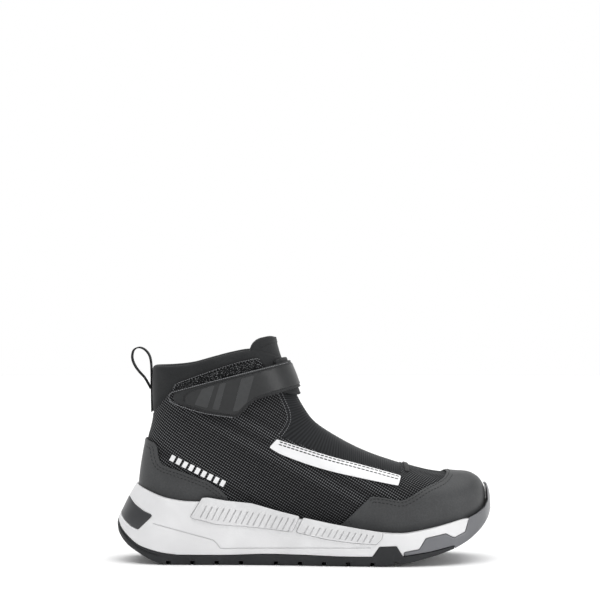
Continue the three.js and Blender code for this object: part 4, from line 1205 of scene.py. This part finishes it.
topRuns = [seams["quarterTop"][:2], seams["quarterTop"][1:3], seams["quarterTop"][2:7]]
topCorner = [(-39.2, 161.6), (-36, 161.6), (-34, 160)]
quarterOutline = outlineOf(topRuns + [
    topCorner, seams["quarterTop"][7:], seams["quarterFront"], seams["gussetEdge"],
    [(76.3, 71.4), (79.5, 100)], [(79.5, 100), (79.5, 190)], [(79.5, 190), (190, 190)],
    [(190, 190), (190, -20)], [(190, -20), (-190, -20)]])
quarterCloth = addPanel("quarter", grow(quarterOutline, -0.15), *layers["quarter"])
finishPiece(quarterCloth, "wovenQuarters", "shoe", wovenMesh,
            ["quarter_lateral", "quarter_medial"])
gussetOutline = outlineOf([seams["quarterFront"], seams["gussetEdge"], [(76.3, 71.4), (79.5, 100)],
                           [(79.5, 100), (60, 149)], [(60, 149), (-28, 149)]])
gusset = addPanel("gusset", grow(gussetOutline, 2.5), *layers["gusset"])
finishPiece(gusset, "ribbedGusset", "shoe", ribKnit, ["instep_gusset"])
bartack = {"outline": [(79.6, 73), (80.8, 95), (84.6, 95), (83.4, 73)]}
tack = addPanel("tack", place(bartack["outline"]), *layers["bartack"])
finishPiece(tack, "gussetBartack", "shoe", darkThread)
print("quarters and gusset ready")


# the padded collar: one closed ring whose section runs up the outside, over a round rim and down the inside
collar = {"thickness": 5.4, "frontThickness": 0.9, "frontRun": (-48, -36), "bulge": 0.5, "under": 6,
          "skin": 0.25, "tucked": 1.75, "rimSteps": 9, "wallSteps": 12}


def collarPoint(angle, z, depth):
    # ribs turn below the pivot, so the level is found by stepping along the ribs
    low, high = 1.2, 3.0
    for _ in range(22):
        middle = (low + high) / 2
        if lastRing(middle, [angle], 0)[0][2] < z:
            low = middle
        else:
            high = middle
    return lastRing(middle, [angle], depth)[0]


def makeCollar():
    count = int(120 * fine)
    rimX, rimZ = np.array(smoothLine(place(seams["rim"][1:]), 80)).T
    lowX, lowZ = np.array(outlineOf(topRuns + [seams["quarterTop"][6:8], seams["quarterTop"][7:]], 3)).T
    columns = []
    for i in range(count):
        angle = 2 * math.pi * i / count
        top, bottom = 160, 140
        for _ in range(4):
            top = np.interp(collarPoint(angle, top, 0)[0], rimX, rimZ)
            bottom = np.interp(collarPoint(angle, bottom, 0)[0], lowX, lowZ)
        x = collarPoint(angle, top, 0)[0] / scale[0]
        thick = mix(collar["thickness"], collar["frontThickness"], ease(share(x, *collar["frontRun"])))
        radius = thick / 2
        section = []
        for k in range(collar["wallSteps"] + 1):
            t = k / collar["wallSteps"]
            z = mix(bottom - collar["under"], top - radius, t)
            sunk = mix(collar["tucked"], collar["skin"], ease(share(z, bottom - 1.5, bottom + 3)))
            sunk -= collar["bulge"] * math.sin(math.pi * share(z, bottom, top)) * share(thick, 1.7, 5)
            section.append((z, sunk))
        for k in range(1, collar["rimSteps"]):
            turn = math.pi * k / collar["rimSteps"]
            inwards = collar["skin"] + radius - radius * math.cos(turn)
            section.append((top - radius + radius * math.sin(turn), inwards))
        for k in range(collar["wallSteps"] + 1):
            t = k / collar["wallSteps"]
            section.append((mix(top - radius, bottom - collar["under"], t), collar["skin"] + thick))
        columns.append([collarPoint(angle, z, depth) for z, depth in section])
    rows = np.swapaxes(np.array(columns), 0, 1)
    rows = np.concatenate([rows, rows[:1]])
    travel = np.linalg.norm(np.diff(rows[8], axis=0), axis=1)
    travel = np.concatenate([[0], np.cumsum(travel)])
    up = np.concatenate([[0], np.cumsum(np.linalg.norm(np.diff(rows[:, count // 4], axis=0), axis=1))])
    maps = np.array([np.stack([travel, np.full(count, value)], axis=1) for value in up])
    piece = wrapGrid("collar", rows, (maps, maps))
    editAll(piece, lambda: bpy.ops.mesh.normals_make_consistent(inside=False))
    return shadeSmooth(piece, 70)


paddedCollar = finishPiece(makeCollar(), "paddedCollar", "shoe", collarJersey,
                           ["ankle_collar", "collar_foam"])

tongue = {
    "outline": [[(-44.5, 150), (-44.5, 164)], [(-44.5, 164), (-41.8, 169.5), (-40.2, 173), (-38.2, 175.4),
                 (-33.7, 177.6), (-27.3, 179), (-24, 178.6)], [(-24, 178.6), (-10, 178.6)],
                [(-10, 178.6), (20, 150)], [(20, 150), (-44.5, 150)]],
    "binding": [[(-44.5, 160), (-44.5, 164)], [(-44.5, 164), (-41.8, 169.5), (-40.2, 173), (-38.2, 175.4),
                 (-33.7, 177.6), (-27.3, 179), (-24, 178.6)], [(-24, 178.6), (-10, 178.6)],
                [(-10, 178.6), (-10, 173.6)],
                [(-10, 173.6), (-25, 173.6), (-31.5, 171.4), (-36.2, 168), (-38.6, 164), (-39, 160)],
                [(-39, 160), (-44.5, 160)]],
}
tongueTab = addPanel("tongue", outlineOf(tongue["outline"]), *layers["tongue"])
finishPiece(tongueTab, "tongueTab", "shoe", collarJersey, ["tongue_tab"])
tongueBinding = addPanel("binding", outlineOf(tongue["binding"]), *layers["binding"])
finishPiece(tongueBinding, "tongueBinding", "shoe", collarJersey)

liningOutline = [(x, z - 4) for x, z in place(seams["rim"])] + [(380, 157), (380, -50), (-380, -50)]
lining = addPanel("lining", liningOutline, *layers["lining"])
finishPiece(lining, "liningBootie", "shoe", liningCloth, ["lining_bootie"])
footbed = {"depth": 6.1, "thickness": 5.0, "edge": 0.9, "run": (-118, 139, 8)}
soleLine = sorted(place(last["soleAndBack"][:14]))
footbedRise = footbed["depth"] + footbed["thickness"]
footbedTop = [(x, along(soleLine, x) + footbedRise) for x in range(*footbed["run"])]
footbedPiece = addLast("footbed", footbed["depth"])
footbedRoom = [(-far, footbedTop[0][1])] + footbedTop + [(far, footbedTop[-1][1]), (far, -20), (-far, -20)]
cut(footbedPiece, addPrism(footbedRoom), "INTERSECT")
roundEdges(footbedPiece, footbed["edge"])
finishPiece(shadeSmooth(footbedPiece), "feltFootbed", "shoe", footbedCloth, ["footbed"])
print("collar, tongue, lining and footbed ready")

toeCap = outlineOf([[(22, 24.5), (30.4, 32.8)], [(30.4, 32.8), (50.8, 53.3)], capTop, [(114, 71), (115, 90)],
                    [(115, 90), (190, 90)], [(190, 90), (190, 20)], [(190, 20), (22, 20)]])
finishPiece(addPanel("toeCap", toeCap, *layers["cover"]), "toeCapCover", "shoe", coverMicrofibre,
            ["toe_cap"])
heelRuns = [
    [(-190, 98.1), (-127.8, 98.1)], [(-127.8, 98.1), (-121.1, 95.4), (-118.5, 94.2), (-116.6, 91)],
    [(-116.6, 91), (-115.6, 84.6), (-114, 80.2), (-111.3, 77.5), (-106, 75.6)],
    [(-106, 75.6), (-94.7, 72), (-76.3, 65.3)], [(-76.3, 65.3), (-65.6, 58), (-60.3, 51.2), (-59, 39)],
    [(-59, 39), (-190, 39)],
]
finishPiece(addPanel("heelCover", outlineOf(heelRuns), *layers["cover"]), "heelCounterCover", "shoe",
            coverMicrofibre, ["heel_cover"])
stripeOutline = outlineOf([[(-21.5, 98.2), (14.4, 87), (40.9, 79.9), (76.3, 70.2)],
                           [(76.3, 70.2), (73.8, 63)],
                           [(73.8, 63), (40.9, 69.5), (10.3, 76.7), (-16.3, 85.9), (-27.5, 92)],
                           [(-27.5, 92), (-21.5, 98.2)]])
for sideName, (y0, y1) in (("lateral", lateralSide), ("medial", medialSide)):
    stripe = addPanel("stripe", stripeOutline, *layers["stripe"], y0, y1)
    finishPiece(stripe, f"weldedStripe_{sideName}", "shoe", whiteFilm,
                [f"reflective_stripe_{sideName}"])
# small slanted bars in place of lettering
bars = {"from": (-106.5, 81.6), "to": (-66.8, 62.4), "count": 9, "width": 3.1, "height": 4.4, "lean": 2.4,
        "drop": 0.48, "depth": -0.1, "thickness": 0.6}
barList = []
for i in range(bars["count"]):
    t = i / (bars["count"] - 1)
    x, z = mix(bars["from"][0], bars["to"][0], t), mix(bars["from"][1], bars["to"][1], t)
    w, h, lean = bars["width"], bars["height"], bars["lean"]
    low = z - w * bars["drop"]
    corner = place([(x, z), (x + w, low), (x + w + lean, low + h), (x + lean, z + h)])
    barList.append(addPatch(corner, -1, bars["depth"], bars["thickness"]))
finishPiece(joinPieces("bars", barList), "printedBars", "shoe", whiteFilm)
print("covers and stripes ready")

# the strap
strap = {
    "flap": [[(-103.2, 130.1), (-102.6, 133.6), (-100.2, 135.5)],
             [(-100.2, 135.5), (-72.5, 143.9), (-38.7, 153.1),
             (-10, 160.1), (30, 167.5)], [(30, 167.5), (30, 145)], [(30, 145), (-6.5, 138.1), (-23.4, 133.5),
             (-34.9, 130.5), (-40.3, 127.7), (-48, 120.1), (-51.8, 117), (-56.4, 115.9), (-77.1, 119.3)],
             [(-77.1, 119.3), (-97.8, 125.8), (-101.6, 128), (-103.2, 130.1)]],
    "medial": [[(-86, 138.5), (-72.5, 143.9), (-38.7, 153.1), (-10, 160.1), (30, 167.5)],
               [(30, 167.5), (30, 145)],
               [(30, 145), (-6.5, 138.1), (-23.4, 133.5), (-48, 126.5), (-82, 116)],
               [(-82, 116), (-86, 138.5)]],
    "film": [[(-93.6, 129.6), (-92.4, 133.4), (-89.6, 136)], [(-89.6, 136), (-72.2, 141.5), (-38.4, 150.7),
             (-10, 157.6), (30, 165)], [(30, 165), (30, 147.4)], [(30, 147.4), (-7, 140.6), (-24, 136),
             (-35.9, 132.7), (-41.9, 129.6), (-49.6, 121.9), (-52.8, 119.2), (-56.8, 118.3), (-76.6, 121.6)],
             [(-76.6, 121.6), (-91, 126.2), (-93.6, 129.6)]],
    "filmMedial": [[(-70, 142), (-38.4, 150.7), (-10, 157.6), (30, 165)], [(30, 165), (30, 147.4)],
                   [(30, 147.4), (-7, 140.6), (-24, 136), (-66, 123.5)], [(-66, 123.5), (-70, 142)]],
    "facets": [[(-86, 125.9), (-80, 138.2), (-70, 141.2), (-76, 123.4)],
               [(-72, 122.6), (-66, 142.2), (-61, 143.6),
                (-67, 121.7)], [(-56, 120.4), (-49, 146.4), (-39, 149), (-45, 127.6), (-51, 121.6)]],
    "hook": [[(-98, 131), (-72, 141.5), (-42, 149.5), (-34, 146)], [(-34, 146), (-38, 133.5)],
             [(-38, 133.5), (-50, 122.5), (-57, 120.2), (-77, 123.2)], [(-77, 123.2), (-98, 131)]],
    "loops": [[(-102, 136), (-101, 139), (-99, 140.8)],
              [(-99, 140.8), (-75.4, 149.6), (-53, 156.8), (-39.8, 159.6)],
              [(-39.8, 159.6), (-37.4, 159.6), (-36.3, 157.8)], [(-36.3, 157.8), (-30, 146.5), (-25.5, 138)],
              [(-25.5, 138), (-40, 131.5), (-52, 122), (-58, 120), (-78, 123.5), (-96, 129.5)],
              [(-96, 129.5), (-102, 136)]],
    "pad": [[(-20, 136.5), (-19.6, 148), (-22.5, 160.5)], [(-22.5, 160.5), (-5, 163.6), (30, 163.6)],
            [(30, 163.6), (30, 133)], [(30, 133), (-2, 133), (-20, 136.5)]],
    "bendStart": (-17.5, -29, 150), "bendEnd": (-27, -41, 146),
}
loopField = addPanel("loops", outlineOf(strap["loops"]), *layers["loops"], *lateralSide)
finishPiece(loopField, "loopField", "shoe", loopPile, ["loop_pile_field"])
pad = addPanel("pad", outlineOf(strap["pad"]), *layers["pad"])
finishPiece(pad, "instepPad", "shoe", collarJersey, ["instep_pad"])
hook = addPanel("hook", outlineOf(strap["hook"]), *layers["hooks"], *lateralSide)
finishPiece(hook, "hookPad", "strap_end", hookTape, ["hook_pad"])


def bendStrap(piece):
    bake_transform(piece)
    return piece


bandPiece = addPanel("band", outlineOf(strap["flap"]), *layers["strap"], -far, 2,
                     more=(outlineOf(strap["medial"]), -2, far))
finishPiece(bandPiece, "ankleStrap", None, strapMicrofibre, ["strap_base", "strap_flap"])
bendStrap(bandPiece)
film = addPanel("film", outlineOf(strap["film"]), *layers["film"], -far, 2,
                more=(outlineOf(strap["filmMedial"]), -2, far))
finishPiece(film, "strapFilm", None, strapFilm, ["strap_patch"])
bendStrap(film)
facets = [addPanel("facet", place(points), *layers["facet"], *lateralSide) for points in strap["facets"]]
finishPiece(joinPieces("facets", facets), "strapFacets", "strap_end", strapFacet)
print("strap ready")

# the pull loop at the heel
pull = {
    "line": [(-122.9, 136.9), (-127.6, 145.2), (-131.9, 150.1), (-135.1, 154.3), (-137.5, 159.4),
             (-137.9, 163.9), (-136.5, 168.1), (-132.8, 169.9), (-129.1, 169), (-125.9, 166.3),
             (-123.9, 162.8), (-122.9, 158.4), (-122.5, 152.5), (-122.4, 145), (-122.4, 138.6)],
    "thickness": 1.1, "width": 14, "foot": [(-190, 118.5), (-100, 118.5), (-100, 138.2), (-190, 138.2)],
}


def makePullLoop():
    line = np.array(smoothLine(place(pull["line"]), int(90 * fine)))
    half, thick = pull["width"] / 2, pull["thickness"] / 2
    section = [(half, 0.4), (half - 0.25, 0.85), (half - 0.7, 1), (0, 1), (-half + 0.7, 1),
               (-half + 0.25, 0.85), (-half, 0.4), (-half, -0.4), (-half + 0.25, -0.85), (-half + 0.7, -1),
               (0, -1), (half - 0.7, -1), (half - 0.25, -0.85), (half, -0.4)]
    rows = []
    sides = [offsetLine(line, thick * out) for _, out in section]
    for k in range(len(line)):
        rows.append([(sides[j][k][0], section[j][0], sides[j][k][1]) for j in range(len(section))])
    piece = wrapGrid("loop", rows)
    fillEnds(piece)
    editAll(piece, lambda: bpy.ops.mesh.normals_make_consistent(inside=False))
    return shadeSmooth(piece, 60)


finishPiece(makePullLoop(), "heelPullLoop", "heel_loop", webbing, ["pull_loop"])
foot = addPanel("foot", place(pull["foot"]), *layers["pullFoot"], -pull["width"] / 2, pull["width"] / 2)
finishPiece(foot, "pullLoopTape", "shoe", webbing, ["pull_loop_tape"])
print("pull loop ready")

# stitches: one modelled, repeated by an array, and each laid on its seam
# pitch, then the length, width and height of one stitch
thread = {
    "seam": (3.1, 2.3, 0.62, 0.42), "stripe": (3.4, 3.0, 1.0, 0.5), "clothEdge": (1.9, 1.5, 0.5, 0.5),
    "strapEdge": (1.7, 1.6, 0.55, 0.5), "coverRows": (1.7, 4.2), "stripeRows": (1.7, 3.7), "frontRow": 2.6,
}
# how deep the middle of each row lies under the last's surface
seamDepths = {"cover": -1.72, "stripe": -0.98, "strap": -5.1, "film": -5.8, "clothEdge": 0.32,
              "frontRow": 0.3, "strapEdge": -4.95}


def seamLine(points, side, depth):
    line = []
    for x, z in points:
        s, angle = ribOf(x, z)
        line.append(lastRing(s, [angle if side < 0 else -angle], depth)[0])
        if angle < 1e-3 and len(line) > 1:
            break  # the middle of the instep
    return line


# over the instep or round the heel, from the outer side to the inner one
def seamAcross(points, depth):
    return seamLine(points, -1, depth) + seamLine(points, 1, depth)[::-1]


def evenSteps(path, pitch):
    path = np.array(path)
    travel = np.concatenate([[0], np.cumsum(np.linalg.norm(np.diff(path, axis=0), axis=1))])
    keep = np.concatenate([[True], np.diff(travel) > 1e-6])
    path, travel = path[keep], travel[keep]
    at = np.arange(pitch / 2, travel[-1], pitch)
    centres = np.stack([np.interp(at, travel, path[:, k]) for k in range(3)], axis=1)
    ahead = np.stack([np.interp(at + 0.6, travel, path[:, k]) for k in range(3)], axis=1)
    behind = np.stack([np.interp(at - 0.6, travel, path[:, k]) for k in range(3)], axis=1)
    along3 = ahead - behind
    return centres, along3 / np.linalg.norm(along3, axis=1)[:, None]


def outwards(centres):
    # away from the middle of the foot at that height, which is near enough for a flat stitch
    normals = []
    for x, y, z in centres:
        s, angle = ribOf(x, z)
        angle = angle if y < midline(x) else -angle
        a, b = lastRing(s, [angle - 0.02], 0)[0], lastRing(s, [angle + 0.02], 0)[0]
        c, d = lastRing(max(0.05, s - 0.02), [angle], 0)[0], lastRing(min(2.99, s + 0.02), [angle], 0)[0]
        normal = np.cross(b - a, d - c)
        inside = lastRing(s, [angle], 3)[0] - lastRing(s, [angle], 0)[0]
        if np.dot(normal, inside) > 0:
            normal = -normal
        normals.append(normal / (np.linalg.norm(normal) + 1e-9))
    return np.array(normals)


def addStitches(paths, kind="seam"):
    pitch, length, width, height = thread[kind]
    centres, headings = [], []
    for path in paths:
        c, h = evenSteps(path, pitch)
        centres.append(c)
        headings.append(h)
    centres, headings = np.concatenate(centres), np.concatenate(headings)
    ups = outwards(centres)
    sidesOf = np.cross(ups, headings)
    deselect()
    bpy.ops.mesh.primitive_uv_sphere_add(segments=6, ring_count=4, radius=1, rotation=(0, math.pi / 2, 0))
    piece = bpy.context.object
    bpy.ops.object.transform_apply(location=False, rotation=True, scale=False)
    shape = np.array([v.co[:] for v in piece.data.vertices])
    shape[:, 0] = np.sign(shape[:, 0]) * np.abs(shape[:, 0]) ** 0.7
    modify(piece, "ARRAY", count=len(centres), use_relative_offset=False, use_constant_offset=True,
           constant_offset_displace=(4, 0, 0))
    lengthwise, across, up = [shape[None, :, k:k + 1] / 2 for k in range(3)]
    points = (centres[:, None] + headings[:, None] * lengthwise * length
              + sidesOf[:, None] * across * width + ups[:, None] * up * height)
    moveVertices(piece, points)
    return shadeSmooth(piece, 80)


def inside(runs, amount):
    return offsetLine(outlineOf(runs, 2), amount)


capEdge = [[(33, 35.6), (50.8, 53.3)], capTop]
heelEdge = [[(-129, 98.1), (-127.8, 98.1)]] + heelRuns[1:4] + [heelRuns[4][:3]]
coverLines = [inside(capEdge, -amount) for amount in thread["coverRows"]]
coverLines += [inside(heelEdge, -amount)[::-1] for amount in thread["coverRows"]]
coverSeams = [seamAcross(line, seamDepths["cover"]) for line in coverLines]
finishPiece(addStitches(coverSeams), "coverStitches", "shoe", darkThread)
stripeEdge = [[(-19.5, 97.6), (14.4, 87), (40.9, 79.9), (75, 70.5)]]
stripeSeams = [seamLine(inside(stripeEdge, -amount), side, seamDepths["stripe"])
               for amount in thread["stripeRows"] for side in (-1, 1)]
finishPiece(addStitches(stripeSeams, "stripe"), "stripeStitches", "shoe", darkThread)
flapTop = [(-100.5, 134.4), (-72.5, 142.6), (-38.7, 151.8), (-10, 158.8), (4, 162)]
flapBottom = [(-101.2, 129.9), (-97.4, 127.2), (-77, 120.6), (-56.5, 117.3), (-52.6, 118), (-49, 121.1),
              (-41.1, 128.8), (-35.3, 131.8), (-23.7, 134.8), (-6.7, 139.4), (4, 141.6)]
filmRear = [(-88.6, 134.6), (-91.2, 132.9), (-92.2, 129.8), (-90, 127.4)]
medialTop = [(-80, 140.4)] + flapTop[1:]
medialBottom = [(-80, 118), (-48, 127.8)] + flapBottom[-3:]
strapSeams = [seamLine(outlineOf([run], 2), -1, seamDepths["strap"]) for run in (flapTop, flapBottom)]
strapSeams += [seamLine(outlineOf([run], 2), 1, seamDepths["strap"]) for run in (medialTop, medialBottom)]
strapSeams += [seamLine(outlineOf([filmRear], 2), -1, seamDepths["film"])]
bendStrap(finishPiece(addStitches(strapSeams), "strapStitches", None, darkThread))
# grey thread along the cut edges of the cloth and of the strap: along the quarter's top edge it is a painted
# highlight, along the quarter's front edge and the strap's edge it is edge stitching
# painted highlight: the grey thread on the quarter's top edge stands for the light along that edge
topEdgeHighlightLine = outlineOf(topRuns[1:] + [topCorner], 2)
frontEdge = outlineOf([[(-30.5, 153.5), (-28, 149)], seams["quarterFront"]], 2)
frontRow = inside([seams["quarterFront"]], thread["frontRow"])
quarterStitchAndHighlightRows = [seamLine(line, side, seamDepths["clothEdge"])
                for line in (topEdgeHighlightLine, frontEdge) for side in (-1, 1)]
quarterStitchAndHighlightRows += [seamLine(frontRow, side, seamDepths["frontRow"]) for side in (-1, 1)]
finishPiece(addStitches(quarterStitchAndHighlightRows, "clothEdge"), "quarterEdgeThreadAndPaintedHighlight", "shoe", greyThreadAndEdgeHighlight)
flapEdge = [[(-56.4, 115.9), (-77.1, 119.3), (-97.8, 125.8), (-103.2, 130.1)], strap["flap"][0],
            strap["flap"][1][:-1] + [(0, 162)]]
edgeThread = addStitches([seamLine(outlineOf(flapEdge, 2), -1, seamDepths["strapEdge"])], "strapEdge")
bendStrap(finishPiece(edgeThread, "strapEdgeThread", None, greyThreadAndEdgeHighlight))
print("stitches ready:", sum(len(p.data.polygons) for p in allPieces), "faces in all")


# camera, floor and light
studio = {
    "camera": (-0.0032, -1.687, 0.208), "lens": 126, "floor": "#fafafa", "floorSize": 8,
    "keyLight": (0.25, -0.5, 1.1), "keyTurn": (25, 10, 0), "keyWatts": 2.2, "keySize": 1.0,
    "frontLight": (1.5, -0.75, 0.45), "frontWatts": 5.5, "frontSize": 0.7, "aim": (0, 0, 0.09),
    "sky": [(0.0, 1.0), (0.26, 1.0), (0.4, 0.45), (0.7, 0.5), (0.86, 2.3), (0.999, 2.3)],
}
deselect()
bpy.ops.object.camera_add(location=studio["camera"], rotation=(math.pi / 2, 0, 0))
camera = bpy.context.object
camera.data.lens = studio["lens"]
camera.data.sensor_width = 36
bpy.context.scene.camera = camera
deselect()
bpy.ops.mesh.primitive_plane_add(size=studio["floorSize"])
floor = bpy.context.object
floor.name = "paleFloor"
floorPaint, tree, shader = startMaterial("whitePaintedFloor", Roughness=0.85)
shader.inputs["Base Color"].default_value = srgb(studio["floor"])
floor.data.materials.append(floorPaint)
keyTurn = [math.radians(turn) for turn in studio["keyTurn"]]
bpy.ops.object.light_add(type="AREA", location=studio["keyLight"], rotation=keyTurn)
key = bpy.context.object
key.data.energy, key.data.size = studio["keyWatts"], studio["keySize"]
bpy.ops.object.light_add(type="AREA", location=studio["frontLight"])
front = bpy.context.object
front.data.energy, front.data.size = studio["frontWatts"], studio["frontSize"]
front.rotation_euler = (Vector(studio["aim"]) - front.location).to_track_quat("-Z", "Y").to_euler()
world = bpy.data.worlds.new("studioWhite")
bpy.context.scene.world = world
world.use_nodes = True
tree = world.node_tree
sky = addNode(tree, "ShaderNodeTexCoord").outputs["Generated"]
height = addNode(tree, "ShaderNodeSeparateXYZ", {"Vector": sky}).outputs["Z"]
bands = addNode(tree, "ShaderNodeValToRGB", {"Fac": height})
elements = bands.color_ramp.elements
for position, level in studio["sky"]:
    element = elements.new(position)
    element.color = (level, level, level, 1)
elements.remove(elements[0])
elements.remove(elements[-1])
tree.links.new(bands.outputs["Color"], tree.nodes["Background"].inputs["Color"])
tree.nodes["Background"].inputs["Strength"].default_value = 1.0
bpy.context.scene.view_settings.view_transform = "Standard"
